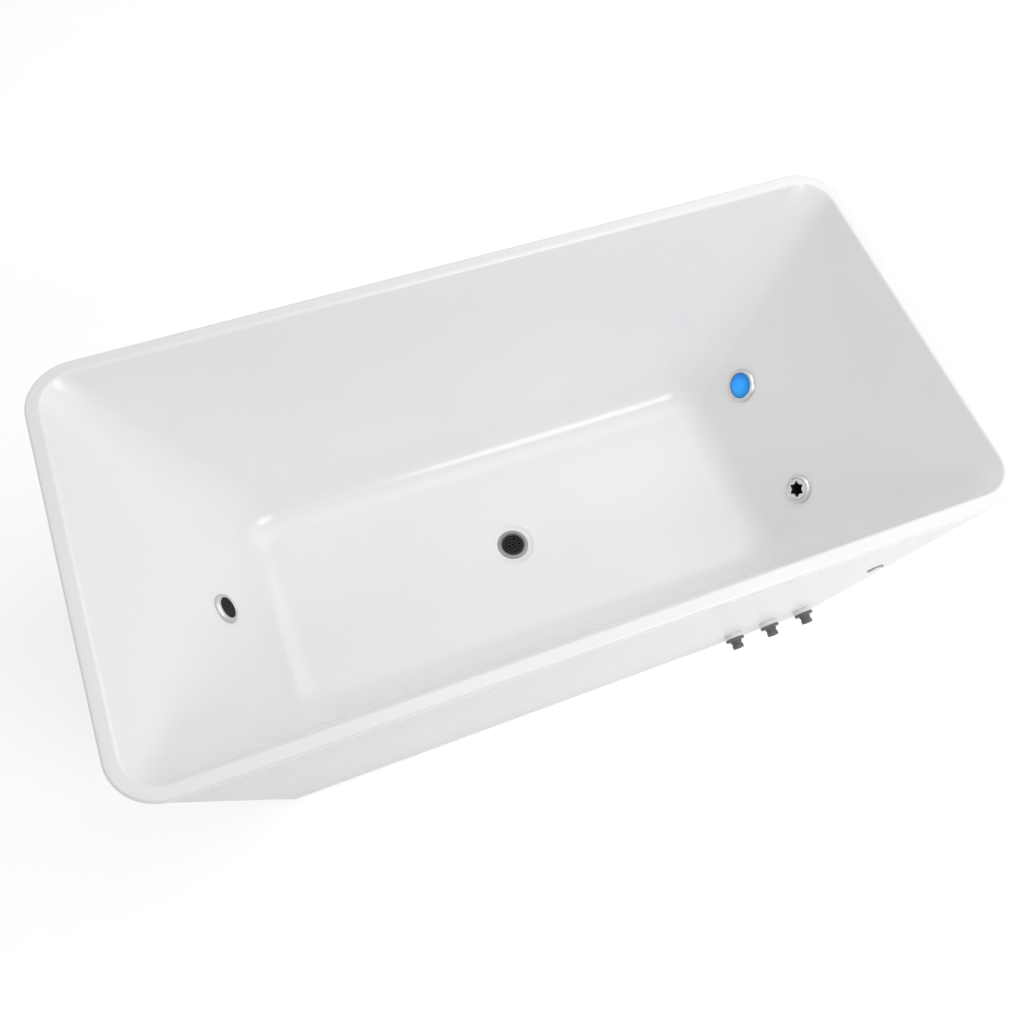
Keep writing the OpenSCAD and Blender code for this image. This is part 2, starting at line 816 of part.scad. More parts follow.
module light_housing() {
    color("gainsboro")
        on_end(1, light_y, light_z)
            difference() {
                union() {
                    translate([0, 0, gasket_t]) cylinder(r = light_flange_r, h = port_flange_t);
                    translate([0, 0, -light_depth])
                        cylinder(r = light_tube_r, h = light_depth + gasket_t);
                    translate([0, 0, -light_depth - gland_l]) cylinder(r = 7, h = gland_l + 1);
                }
                translate([0, 0, ledge_z]) cylinder(r = light_bore, h = port_top - ledge_z + 1);
                translate([0, 0, 3 - light_depth]) cylinder(r = light_bore - 2, h = light_depth);
                translate([0, 0, -light_depth - gland_l - 1])
                    cylinder(r = cable_r + loose_gap, h = gland_l + 6);
            }
}
module light_nut() {
    color("gainsboro")
        on_end(1, light_y, light_z)
            hex_nut(light_tube_r + thread_gap, light_room_r - 2, -shell_t - 8, -shell_t - bond_gap);
}
module light_board() {
    color("seagreen")
        on_end(1, light_y, light_z)
            translate([0, 0, ledge_z]) {
                cylinder(r = light_bore - thread_gap, h = 1.6);
                for (i = [0 : 5])
                    rotate([0, 0, 60 * i])
                        translate([light_bore / 2 - 2.5, -2.5, 1.6]) cube([5, 5, 1.4]);
            }
}

// Driver of the light on the right end rail, with a gland at each end for its cables
driver = [26, 110, 24];
driver_y = 170;
gland_r = 6;
module light_driver() {
    color([0.2, 0.2, 0.22])
        translate([(frame_l - tube) / 2, -driver_y, board_z])
            difference() {
                union() {
                    translate([-driver[0] / 2, -driver[1] / 2, 0]) cube(driver);
                    for (s = [-1, 1])
                        translate([0, s * driver[1] / 2, driver[2] / 2])
                            rotate([-90 * s, 0, 0]) cylinder(r = gland_r, h = gland_l);
                }
                for (s = [-1, 1])
                    translate([0, s * (driver[1] / 2 - 2), driver[2] / 2])
                        rotate([-90 * s, 0, 0])
                            cylinder(r = cable_r + loose_gap, h = gland_l + 3);
            }
}
driver_mid = [(frame_l - tube) / 2, -driver_y, board_z + driver[2] / 2];
driver_end = driver[1] / 2;
cable_steps = 20;
cable_turn = 45;
cable_slack = 150;
cable_back = 22;
cable_aside = 15;
cable_tail = 4;
// The light's cable leaves the housing's gland and runs down to the driver
module light_cable() {
    out = [cos(end_slope), 0, -sin(end_slope)];
    start = [wall(light_z, in_l, end_slope, 0), light_y, light_z] + (light_depth + 2) * out;
    a = start + (gland_l + 2) * out;
    b = driver_mid + [0, driver_end + gland_l + cable_tail, 0];
    c = driver_mid + [0, driver_end, 0];
    color("black")
        rope(concat([start, a], bend(a, cable_turn * out, b, [0, -cable_slack, 0], cable_steps), [c]),
             cable_r, 8);
}
// The button's cable turns down behind the skirt and comes along the rail to the driver
module button_cable() {
    inward = [0, cos(skirt_lean), sin(skirt_lean)];
    root = [button_x, reveal - env_w(button_z), button_z];
    start = root + (button_depth + thread_gap) * inward;
    a = start + cable_tail * inward;
    b = [button_x + cable_aside, reveal + skirt_t + cable_back - env_w(foam_low), foam_low];
    down = [0, 0, -1];
    c = driver_mid - [0, driver_end + gland_l + cable_tail, 0];
    d = driver_mid - [0, driver_end, 0];
    color("black")
        rope(concat([start, a], bend(a, cable_back * inward, b, 2 * cable_turn * down, cable_steps),
                    bend(b, 1.5 * cable_turn * down, c, [0, cable_turn, 0], cable_steps), [d]),
             cable_r, 8);
}

// Push button in the skirt that switches the light
button_tube_r = button_r - 4;
button_cap_r = button_r - 5.5;
button_depth = 22;
button_lip = 3;
button_spring_r = 7;
button_spring_wire = 0.8;
button_seat = 4 - button_depth;
button_neck_r = button_cap_r - 1;
cap_room = 7.5;
cap_low = button_seat + button_travel + cap_room;
cap_roof = -1;
module button_bezel() {
    color([0.25, 0.25, 0.27])
        on_front(button_x, button_z)
            difference() {
                union() {
                    cylinder(r1 = button_r, r2 = button_r - 1, h = button_lip);
                    translate([0, 0, -button_depth]) cylinder(r = button_tube_r, h = button_depth);
                }
                translate([0, 0, -button_depth - 1])
                    cylinder(r = button_cap_r + running_gap, h = button_depth + 1);
                translate([0, 0, -1]) cylinder(r = button_neck_r + running_gap, h = button_lip + 2);
            }
}
module button_cap() {
    color("silver")
        on_front(button_x, button_z)
            difference() {
                union() {
                    translate([0, 0, cap_low]) cylinder(r = button_cap_r, h = -loose_gap - cap_low);
                    translate([0, 0, cap_low]) cylinder(r = button_neck_r, h = button_lip - cap_low);
                    translate([0, 0, button_lip])
                        cylinder(r1 = button_neck_r, r2 = button_neck_r - 1.5, h = 1.5);
                }
                translate([0, 0, cap_low - 1])
                    cylinder(r = button_neck_r - 2, h = cap_roof - cap_low + 1);
            }
}
module button_spring() {
    room = cap_roof - button_seat;
    color("lightgray")
        on_front(button_x, button_z)
            translate([0, 0, button_seat + loose_gap])
                coil_spring(room - 2 * loose_gap, button_spring_r, button_spring_wire, 6);
}
module button_base() {
    color([0.12, 0.12, 0.12])
        on_front(button_x, button_z)
            translate([0, 0, -button_depth])
                cylinder(r = button_cap_r + running_gap - thread_gap, h = button_seat + button_depth);
}
module button_nut() {
    color("silver")
        on_front(button_x, button_z)
            hex_nut(button_tube_r + thread_gap, button_r + 3, -skirt_t - 6, -skirt_t - bond_gap);
}

// Hose connectors: bodies through the skirt with a spring valve in the spigot
tail_r = spigot_r - 0.5;
tail_l = 38;
flange_low = gasket_t + collar_t;
flange_t = 5.5;
valve_bore = spigot_r - 3.5;
seat_low = spigot_l - 8;
seat_high = spigot_l - 6;
seat_r = valve_bore - 2.5;
stem_r = 3;
head_t = 4;
head_low = seat_low - head_t;
guide_t = 4;
spring_room = 12;
guide_z = head_low - guide_t - poppet_travel - spring_room;
poppet_slack = 0.6;
seal_gap = 0.4;
valve_spring_r = stem_r + 3;
valve_wire = 0.8;
module connector_body() {
    difference() {
        union() {
            translate([0, 0, flange_low]) cylinder(r = spigot_flange_r, h = flange_t - 1);
            translate([0, 0, flange_low + flange_t - 1])
                cylinder(r1 = spigot_flange_r, r2 = spigot_flange_r - 1, h = 1);
            translate([0, 0, flange_low]) cylinder(r = spigot_r, h = spigot_l - flange_low - 1);
            translate([0, 0, spigot_l - 1]) cylinder(r1 = spigot_r, r2 = spigot_r - 1, h = 1);
            translate([0, 0, -tail_l]) cylinder(r = tail_r, h = tail_l + flange_low + 1);
        }
        washer(spigot_r - 1.6, spigot_r + 2, spigot_l - 13, spigot_l - 9);
        translate([0, 0, -tail_l - 1]) cylinder(r = valve_bore, h = tail_l + 1 + seat_low);
        translate([0, 0, seat_low - 0.01])
            cylinder(r1 = valve_bore, r2 = seat_r, h = seat_high - seat_low + 0.01);
        cylinder(r = seat_r, h = spigot_l + 1);
    }
}
module connector_bodies() {
    color("dimgray") each_connector() connector_body();
}
module connector_collars() {
    color("white")
        each_connector()
            difference() {
                union() {
                    translate([0, 0, gasket_t]) cylinder(r = spigot_flange_r, h = collar_t - 1);
                    translate([0, 0, flange_low - 1])
                        cylinder(r1 = spigot_flange_r, r2 = spigot_flange_r - 1, h = 1);
                }
                cylinder(r = tail_r + thread_gap, h = flange_low + 1);
            }
}
module connector_gaskets() {
    color([0.12, 0.12, 0.12])
        each_connector() washer(tail_r + hole_gap, spigot_flange_r - 1, 0, gasket_t);
}
module connector_nuts() {
    color("silver")
        each_connector()
            hex_nut(tail_r + thread_gap, spigot_flange_r, -skirt_t - 8, -skirt_t - bond_gap);
}
module valve_guides() {
    color("gainsboro")
        each_connector()
            translate([0, 0, guide_z])
                difference() {
                    cylinder(r = valve_bore - thread_gap, h = guide_t);
                    translate([0, 0, -1]) cylinder(r = stem_r + running_gap, h = guide_t + 2);
                    for (i = [0 : 3])
                        rotate([0, 0, 90 * i])
                            translate([(stem_r + valve_bore) / 2 + 0.2, 0, -1])
                                cylinder(r = 1.8, h = guide_t + 2);
                }
}
module poppet(i) {
    stem_low = guide_z - poppet_travel - guide_t;
    color("darkgray")
        on_front(connector_x + i * connector_pitch, connector_z) {
            translate([0, 0, stem_low]) cylinder(r = stem_r, h = head_low - stem_low + 1);
            translate([0, 0, head_low]) cylinder(r = valve_bore - poppet_slack, h = head_t - seal_gap);
            translate([0, 0, seat_low - seal_gap])
                cylinder(r1 = valve_bore - poppet_slack, r2 = seat_r - poppet_slack,
                         h = seat_high - seat_low);
            translate([0, 0, seat_low]) cylinder(r = seat_r - 2, h = spigot_l - seat_low - 1);
        }
}
module valve_spring(i) {
    room = head_low - guide_z - guide_t;
    color("lightgray")
        on_front(connector_x + i * connector_pitch, connector_z)
            translate([0, 0, guide_z + guide_t + loose_gap])
                coil_spring(room - 2 * loose_gap, valve_spring_r, valve_wire, 6);
}
module poppet_drain() {
    poppet(0);
}
module poppet_suction() {
    poppet(1);
}
module poppet_return() {
    poppet(2);
}
module valve_spring_drain() {
    valve_spring(0);
}
module valve_spring_suction() {
    valve_spring(1);
}
module valve_spring_return() {
    valve_spring(2);
}

// Elbows screwed on the connectors' tails: the first turns along the skirt, the others up
elbow_r = tail_r + 3.5;
elbow_top = 20;
elbow_depth = tail_l + 18;
elbow_axis = elbow_depth - barb_r - 2;
elbow_turns = [[0, -90, 0], [-90, 0, 0], [-90, 0, 0]];
module elbow_outlet(i) {
    on_front(connector_x + i * connector_pitch, connector_z)
        translate([0, 0, -elbow_axis]) rotate(elbow_turns[i]) children();
}
module hose_elbows() {
    color("gainsboro")
        for (i = [0 : 2])
            difference() {
                union() {
                    on_front(connector_x + i * connector_pitch, connector_z)
                        translate([0, 0, -elbow_depth])
                            cylinder(r = elbow_r, h = elbow_depth - elbow_top);
                    elbow_outlet(i) cylinder(r = barb_r, h = elbow_r + barb_l);
                }
                on_front(connector_x + i * connector_pitch, connector_z) {
                    translate([0, 0, -tail_l - bond_gap])
                        cylinder(r = tail_r + thread_gap, h = tail_l);
                    translate([0, 0, 3 - elbow_depth])
                        cylinder(r = valve_bore - 1, h = elbow_depth - 3);
                }
                elbow_outlet(i) cylinder(r = barb_bore, h = elbow_r + barb_l + 1);
            }
}

// Hoses. Each is straight over its barbs and bends between them.
hose_sides = 12;
hose_bore = (barb_r + 0.15) / cos(180 / hose_sides);
hose_start = 2;
hose_grip = barb_l + 6;
hose_steps = 14;
hose_handle = 0.58 * hose_turn;
function port_barb(side, y, z) =
    [side * (wall(z, in_l, end_slope, 0) + barb_depth * cos(end_slope)), y,
     z - barb_depth * sin(end_slope)];
function elbow_barb(i) =
    [connector_x + i * connector_pitch,
     reveal - env_w(connector_z) + elbow_axis * cos(skirt_lean),
     connector_z + elbow_axis * sin(skirt_lean)];
skirt_up = [0, -sin(skirt_lean), cos(skirt_lean)];
module drain_hose() {
    front = [0, -1, 0];
    along = [1, 0, 0];
    a = [0, 0, drain_outlet_z] + (drain_body_r + hose_start) * front;
    b = a + hose_grip * front;
    d = elbow_barb(0) - (elbow_r + hose_start) * along;
    c = d - hose_grip * along;
    color("lightgray")
        pipe(concat([a, b],
                    bend(b, 1.12 * hose_turn * front, c, 1.46 * hose_turn * along, hose_steps + 4),
                    [d]),
             hose_r, hose_bore, hose_sides);
}
suction_low = port_barb(-1, 0, suction_z)[2];
suction_run_y = (env_w(suction_low) - reveal - skirt_t
                 + wall(suction_low, in_w, side_slope, shell_t + bond_gap + foam_t)) / 2;
run_start = port_barb(-1, 0, suction_z)[0] + hose_turn;
run_end = elbow_barb(1)[0] - hose_turn * 0.7;
module suction_hose() {
    front = [0, -1, 0];
    along = [1, 0, 0];
    root = port_barb(-1, 0, suction_z);
    a = root + (port_r + hose_start) * front;
    b = [root[0], -suction_run_y + hose_turn, root[2]];
    c = [run_start, -suction_run_y, root[2]];
    d = [run_end, -suction_run_y, root[2]];
    f = elbow_barb(1) + (elbow_r + hose_start) * skirt_up;
    e = f + hose_grip * skirt_up;
    color("lightgray")
        pipe(concat([a, b], bend(b, hose_handle * front, c, hose_handle * along, hose_steps), [d],
                    bend(d, 0.7 * hose_handle * along, e, -0.5 * hose_handle * skirt_up, hose_steps),
                    [f]),
             hose_r, hose_bore, hose_sides);
}
module return_hose() {
    front = [0, -1, 0];
    a = port_barb(1, -jet_y, jet_z) + (port_r + hose_start) * front;
    b = a + hose_grip * front;
    d = elbow_barb(2) + (elbow_r + hose_start) * skirt_up;
    c = d + hose_grip * skirt_up;
    color("lightgray")
        pipe(concat([a, b], bend(b, hose_handle * front, c, -0.8 * hose_handle * skirt_up, hose_steps),
                    [d]),
             hose_r, hose_bore, hose_sides);
}

// Worm-drive clamps on the hose ends
clamp_w = 9;
clamp_t = 1.2;
module hose_clamp(root) {
    translate([0, 0, root + hose_start + 8]) {
        washer(hose_r + thread_gap, hose_r + thread_gap + clamp_t, 0, clamp_w);
        translate([hose_r + thread_gap + clamp_t / 2, -6, 0]) cube([6, 12, clamp_w]);
    }
}
module hose_clamps() {
    color("silver") {
        drain_outlet() hose_clamp(drain_body_r);
        each_port() port_outlet() hose_clamp(port_r);
        for (i = [0 : 2]) elbow_outlet(i) hose_clamp(elbow_r);
    }
}

// Saddles bonded inside the skirt that carry the long suction hose
saddle_w = 14;
saddle_t = 3;
saddle_stem = 16;
saddle_pad = [40, 20, 4];
module hose_saddles() {
    back = env_w(suction_low) - reveal - skirt_t - bond_gap - saddle_pad[2] / 2;
    color("gainsboro")
        for (i = [0 : 2])
            translate([run_start + (i + 0.5) / 3 * (run_end - run_start), 0, suction_low])
                difference() {
                    union() {
                        translate([-saddle_w / 2, -suction_run_y, 0])
                            rotate([0, 90, 0])
                                cylinder(r = hose_r + thread_gap + saddle_t, h = saddle_w);
                        translate([-saddle_w / 2, -back, -saddle_stem / 2])
                            cube([saddle_w, back - suction_run_y, saddle_stem]);
                        translate([0, 0, -suction_low])
                            on_front(0, suction_low)
                                translate([-saddle_pad[0] / 2, -saddle_pad[1] / 2,
                                           -skirt_t - bond_gap - saddle_pad[2]])
                                    cube(saddle_pad);
                    }
                    translate([-saddle_w, -suction_run_y, 0])
                        rotate([0, 90, 0])
                            cylinder(r = hose_r + thread_gap, h = 2 * saddle_w);
                }
}

basin_shell();
outer_skirt();
baseboard();
side_insulation();
end_insulation();
frame_side_rails();
frame_end_rails();
frame_bearers();
foot_plates();
skirt_blocks();
block_screws();
foot_front_left();
foot_front_right();
foot_back_left();
foot_back_right();
foot_lock_nuts();
drain_flange();
drain_strainer();
drain_gasket();
drain_body();
suction_bezel();
suction_grille();
suction_body();
jet_bezel();
jet_face();
jet_nozzle();
jet_body();
port_gaskets();
port_nuts();
light_bezel();
light_lens();
light_gasket();
light_housing();
light_nut();
light_board();
light_driver();
light_cable();
button_cable();
button_bezel();
button_cap();
button_spring();
button_base();
button_nut();
connector_bodies();
connector_collars();
connector_gaskets();
connector_nuts();
valve_guides();
poppet_drain();
poppet_suction();
poppet_return();
valve_spring_drain();
valve_spring_suction();
valve_spring_return();
hose_elbows();
drain_hose();
suction_hose();
return_hose();
hose_clamps();
hose_saddles();
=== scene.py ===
# Looks of the cold plunge tub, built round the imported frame. Metres, Z up, the origin on the
# floor under the middle, as in the part's source.
import json
import math

import bmesh
import bpy
import numpy as np
from mathutils import Matrix, Vector


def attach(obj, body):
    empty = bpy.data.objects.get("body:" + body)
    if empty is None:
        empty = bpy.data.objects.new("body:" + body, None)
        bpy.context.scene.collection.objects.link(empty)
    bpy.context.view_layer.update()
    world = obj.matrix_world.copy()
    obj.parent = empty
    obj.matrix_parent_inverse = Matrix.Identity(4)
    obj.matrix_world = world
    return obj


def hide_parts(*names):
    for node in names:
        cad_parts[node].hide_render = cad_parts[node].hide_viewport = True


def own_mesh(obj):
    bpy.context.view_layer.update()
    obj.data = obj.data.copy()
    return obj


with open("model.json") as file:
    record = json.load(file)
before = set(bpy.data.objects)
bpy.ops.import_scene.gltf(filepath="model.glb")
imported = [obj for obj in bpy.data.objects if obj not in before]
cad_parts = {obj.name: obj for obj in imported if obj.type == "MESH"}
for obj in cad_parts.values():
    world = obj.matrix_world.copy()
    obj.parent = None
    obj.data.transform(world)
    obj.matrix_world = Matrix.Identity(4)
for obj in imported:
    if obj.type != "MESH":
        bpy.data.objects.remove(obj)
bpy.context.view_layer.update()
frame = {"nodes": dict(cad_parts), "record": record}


def put(name, data):
    """New object in the scene that shows this data."""
    piece = bpy.data.objects.new(name, data)
    bpy.context.scene.collection.objects.link(piece)
    return piece


# Camera. It stands above the front left of the tub and looks down into the basin, as solved from
# the straight edges of the rim and the front edge of the foot.
camera = put("camera", bpy.data.cameras.new("camera"))
camera.location = (-0.4861, -0.8159, 2.2138)
camera.rotation_euler = (0.4464, -0.0735, -0.3699)
camera.data.sensor_width = 36.0
camera.data.lens = 35.654
bpy.context.scene.camera = camera

# Basin. One sheet of white gloss acrylic, drawn down over a mould and backed with glass fibre.
# Its rim turns down in a lip over the skirt, and its floor is dished round the drain.
half_l, half_w, tub_h = 0.850, 0.420, 0.600
foot_l, foot_w = 0.660, 0.360
rim_band, rim_edge, rim_inner_edge = 0.028, 0.006, 0.008
rim_corner, foot_corner = 0.095, 0.045
floor_z, shell_t, floor_fillet, floor_corner = 0.092, 0.007, 0.080, 0.085
end_slope, side_slope = math.radians(27.8), math.radians(15.5)
lip_z, lip_t, lip_edge, lip_back_edge = 0.580, 0.0045, 0.0012, 0.0005
edge_z, under_z = tub_h - rim_edge, tub_h - shell_t
in_l, in_w, in_corner = half_l - rim_band, half_w - rim_band, rim_corner - rim_band
recess_r, recess_depth, recess_slope, dish_r = 0.048, 0.0025, 0.0015, 0.052
drain_hole_r, drain_hole_margin = 0.026, 0.004
recess_z = floor_z - recess_depth

# Steps round a corner, along a long and a short side, and from the drain out and over the rim.
corner_steps, long_steps, short_steps = 28, 36, 16
floor_steps, fillet_steps, wall_steps = 11, 40, 8
rounding_steps, rim_steps, edge_steps = 12, 3, 9


def ring_table():
    """Round a rounded rectangle with half sizes a and b and corner radius r, a point is
    x = along_x (a - r) + turn_x r and y = along_y (b - r) + turn_y r. Gives the four arrays."""
    parts = []
    for quarter, steps in enumerate((long_steps, short_steps, long_steps, short_steps)):
        angle = np.radians(90) * (quarter + np.linspace(0, 1, corner_steps + 1))
        here = np.sign([math.cos(math.radians(90 * quarter + 45)),
                        math.sin(math.radians(90 * quarter + 45))])
        there = np.array([-here[1], here[0]])
        share = np.linspace(0, 1, steps + 1)[1:-1, None]
        side = (1 - share) * here + share * there
        end = np.array([math.cos(angle[-1]), math.sin(angle[-1])])
        parts.append(np.concatenate([
            np.column_stack([np.full((corner_steps + 1, 2), here), np.cos(angle), np.sin(angle)]),
            np.column_stack([side, np.tile(end, (steps - 1, 1))])]))
    return np.concatenate(parts).T


along_x, along_y, turn_x, turn_y = ring_table()
ring_points = len(along_x)


def rings(a, b, r, end_z, side_z=None):
    """Rows of rounded rectangles, one per value. A point's height goes from end_z on the ends to
    side_z on the sides by the squares of its turn: z = end_z turn_x^2 + side_z turn_y^2."""
    side_z = end_z if side_z is None else side_z
    a, b, r, end_z, side_z = (np.reshape(v, (-1, 1)) for v in np.broadcast_arrays(
        *(np.atleast_1d(np.asarray(v, float)) for v in (a, b, r, end_z, side_z))))
    share = turn_x ** 2 / (turn_x ** 2 + turn_y ** 2)
    return np.stack([along_x * (a - r) + turn_x * r, along_y * (b - r) + turn_y * r,
                     end_z * share + side_z * (1 - share)], axis=-1)


def wall(z, top, slope, off=0.0):
    """Half size of a wall at height z: top - (tub_h - z) tan(slope) + off / cos(slope)."""
    return top - (tub_h - z) * math.tan(slope) + off / math.cos(slope)


def wall_corner(z, off=0.0):
    """Corner radius of the walls: it grows evenly from in_corner at the rim to floor_corner."""
    return in_corner + off + (floor_corner - in_corner) * (tub_h - z) / (tub_h - floor_z)


def fillet_arc(share, top, slope, off):
    """Half size and height on the floor fillet, an arc tangent to floor and wall. The angle is
    share of 90 degrees - slope, the half size centre + R sin(angle) and z = low + R (1 - cos)."""
    radius, low = floor_fillet + off, floor_z - off
    centre = wall(low, top, slope, off) - radius * math.tan((math.pi / 2 - slope) / 2)
    angle = share * (math.pi / 2 - slope)
    return centre + radius * np.sin(angle), low + radius * (1 - np.cos(angle))


def basin_wall(off, top_share):
    """Rows from the foot of the fillet up to the rim's rounding, on the surface off outside the
    basin's face. The ends and the sides each follow their own arc and slope."""
    share = np.linspace(0, 1, fillet_steps + 1)
    a, end_z = fillet_arc(share, in_l, end_slope, off)
    b, side_z = fillet_arc(share, in_w, side_slope, off)
    rise = np.linspace(0, 1, wall_steps + 1)[1:]
    end_top, side_top = top_share
    end_up = end_z[-1] + rise * (end_top - end_z[-1])
    side_up = side_z[-1] + rise * (side_top - side_z[-1])
    a = np.append(a, wall(end_up, in_l, end_slope, off))
    b = np.append(b, wall(side_up, in_w, side_slope, off))
    end_z, side_z = np.append(end_z, end_up), np.append(side_z, side_up)
    corner = wall_corner(side_z, off) - wall(side_z, in_w, side_slope, off) + b
    return rings(a, b, corner, end_z, side_z)


def skirt_rings(z, inset):
    """Rows on the tub's outside, set back by inset: half sizes and corner radius grow evenly
    from the foot at z = 0 to the rim's edge."""
    z, inset = np.broadcast_arrays(np.asarray(z, float), np.asarray(inset, float))
    up = z / edge_z
    return rings(foot_l + (half_l - foot_l) * up - inset, foot_w + (half_w - foot_w) * up - inset,
                 foot_corner + (rim_corner - foot_corner) * up - inset, z)


def circle(steps):
    """Even angles round a circle."""
    return np.linspace(0, 2 * np.pi, steps, endpoint=False)


def round_points(r, t, z, x=0.0, y=0.0):
    """Points at radius r, angle t and height z round the upright axis through x and y."""
    r, t, z = np.broadcast_arrays(r, t, z)
    return np.stack([x + r * np.cos(t), y + r * np.sin(t), z], axis=-1)


def circles(radius, z):
    """Rows of circles whose points face the ring's points one to one."""
    angle = 2 * np.pi * (np.arange(ring_points) - corner_steps / 2) / ring_points + np.pi / 4
    return round_points(np.reshape(radius, (-1, 1)), angle, np.reshape(z, (-1, 1)))


def surface(name, grid, close_rows=False, close_ring=True):
    """Mesh over a grid of points [row, column]. Each quad joins (j, i), (j+1, i), (j+1, i+1) and
    (j, i+1). The UV map runs once out and back round the ring, and along the rows in metres."""
    rows, columns = grid.shape[:2]
    j, i = np.meshgrid(np.arange(rows - (not close_rows)), np.arange(columns - (not close_ring)),
                       indexing="ij")
    corners = [(j, i), (j + 1, i), (j + 1, i + 1), (j, i + 1)]
    quads = np.stack([p % rows * columns + q % columns for p, q in corners], -1).reshape(-1, 4)
    mesh = bpy.data.meshes.new(name)
    mesh.from_pydata(grid.reshape(-1, 3).tolist(), [], quads.tolist())
    run = np.append(0, np.cumsum(np.linalg.norm(np.diff(grid[:, 0], axis=0), axis=1)))
    run = np.append(run, run[-1])
    uv = np.stack([np.stack([np.abs(1 - 2 * q / columns), run[p]], -1) for p, q in corners], 2)
    mesh.uv_layers.new(name="turned").data.foreach_set("uv", uv.reshape(-1))
    return put(name, mesh)


def smooth(piece, limit=32.0):
    """Shades a piece smooth, with creases where its faces turn by more than limit degrees."""
    piece.data.shade_smooth()
    piece.data.set_sharp_from_angle(angle=math.radians(limit))
    return piece


def bore(piece, cutters):
    """Cuts closed surfaces out of a piece for good, and removes them."""
    for cutter in cutters:
        cut = piece.modifiers.new("bore", "BOOLEAN")
        cut.operation, cut.solver, cut.object = "DIFFERENCE", "EXACT", cutter
    bpy.context.view_layer.update()
    whole = piece.evaluated_get(bpy.context.evaluated_depsgraph_get())
    piece.data = bpy.data.meshes.new_from_object(whole)
    piece.modifiers.clear()
    for cutter in cutters:
        bpy.data.objects.remove(cutter)
    return piece


def on_end(side, y, z):
    """Place on an end wall of the basin: its Z leaves the wall into the basin."""
    return (Matrix.Translation((side * wall(z, in_l, end_slope), y, z))
            @ Matrix.Rotation(-side * (math.pi / 2 - end_slope), 4, "Y"))


skirt_lean, reveal = math.atan((half_w - foot_w) / edge_z), 0.001


def on_front(x, z):
    """Place on the front of the skirt: its Z leaves the skirt outwards."""
    y = reveal - foot_w - (half_w - foot_w) * z / edge_z
    return Matrix.Translation((x, y, z)) @ Matrix.Rotation(math.pi / 2 + skirt_lean, 4, "X")


def placed(points, place):
    """Points turned and moved to a place."""
    place = np.array(place)
    return points @ place[:3, :3].T + place[:3, 3]


def soften(section, radius, closed=True, steps=5):
    """Section with each corner V replaced by the curve (1-s)^2 A + 2s(1-s) V + s^2 B, where A and
    B lie on the two edges, at most radius and 0.45 of the edge away from V."""
    section = np.array(section, float)
    before, after = np.roll(section, 1, 0) - section, np.roll(section, -1, 0) - section
    near = [edge * np.minimum(radius, 0.45 * np.linalg.norm(edge, axis=1, keepdims=True))
            / np.linalg.norm(edge, axis=1, keepdims=True) for edge in (before, after)]
    if not closed:
        near[0][[0, -1]] = near[1][[0, -1]] = 0
    s = np.linspace(0, 1, steps)[None, :, None]
    curve = (section[:, None] + (1 - s) ** 2 * near[0][:, None] + s ** 2 * near[1][:, None])
    if closed:
        return curve.reshape(-1, 2)
    return np.concatenate([section[:1], curve[1:-1].reshape(-1, 2), section[-1:]])


def turned(name, section, place=Matrix(), edge=0.0005, closed=True, steps=96):
    """Piece turned round its Z: radius and height along the section, carried round the circle as
    (r cos t, r sin t, z). A closed section is a ring, an open one starts and ends on the axis."""
    section = np.array(section, float)
    ahead = np.roll(section, -1, 0)
    area = np.sum(section[:, 0] * ahead[:, 1] - ahead[:, 0] * section[:, 1])
    if area > 0:
        section = section[::-1]
    r, z = soften(section, edge, closed).T[:, :, None]
    piece = surface(name, placed(round_points(r, circle(steps), z), place), close_rows=closed)
    if not closed:
        weld(piece)
    return smooth(piece)


def weld(piece):
    """Merges points that lie on each other, so that poles and seams are closed."""
    mesh = bmesh.new()
    mesh.from_mesh(piece.data)
    bmesh.ops.remove_doubles(mesh, verts=mesh.verts, dist=1e-7)
    mesh.to_mesh(piece.data)
    mesh.free()


def wire(material, kind, inputs, **settings):
    """Adds a node to a material. Each input is a value or the output of another node."""
    node = material.node_tree.nodes.new(kind)
    for name, value in settings.items():
        setattr(node, name, value)
    for name, value in inputs.items():
        if isinstance(value, bpy.types.NodeSocket):
            material.node_tree.links.new(value, node.inputs[name])
        else:
            node.inputs[name].default_value = value
    return node


def blank(name, **sockets):
    """Material with nothing but its shader, whose even values are set on the shader itself."""
    material = bpy.data.materials.new(name)
    material.use_nodes = True
    for socket, value in sockets.items():
        shader(material).inputs[socket.replace("_", " ")].default_value = value
    return material


def shader(material):
    """The one shader of a material."""
    return material.node_tree.nodes["Principled BSDF"]


def feed(material, socket, output):
    """Joins a node's output to a socket of the shader."""
    material.node_tree.links.new(output, shader(material).inputs[socket])


def own_place(material):
    """Place on the piece itself, in metres."""
    return wire(material, "ShaderNodeTexCoord", {}).outputs["Object"]


def noise(material, coords, spots, detail):
    """Noise with that many spots to the metre, on the piece's own place unless told otherwise."""
    return wire(material, "ShaderNodeTexNoise", {
        "Vector": coords or own_place(material), "Scale": spots, "Detail": detail}).outputs["Fac"]


def ramp(material, value, first, last, low=0.0, high=1.0):
    """Colour that goes from first to last as the value goes from low to high."""
    node = wire(material, "ShaderNodeValToRGB", {"Fac": value})
    start, end = node.color_ramp.elements
    start.position, end.position = low, high
    start.color, end.color = (*first, 1), (*last, 1)
    return node.outputs["Color"]


def spread_over(owner, value, low, high, first=0.0, last=1.0):
    """Number that goes from first to last as the value goes from low to high."""
    return wire(owner, "ShaderNodeMapRange", {
        "Value": value, "From Min": low, "From Max": high,
        "To Min": first, "To Max": last}).outputs["Result"]


def axis_distance(material, coords):
    """Distance from the Z axis of those coordinates."""
    flat = wire(material, "ShaderNodeMapping", {"Vector": coords, "Scale": (1.0, 1.0, 0.0)})
    return wire(material, "ShaderNodeVectorMath", {0: flat.outputs["Vector"]},
                operation="LENGTH").outputs["Value"]


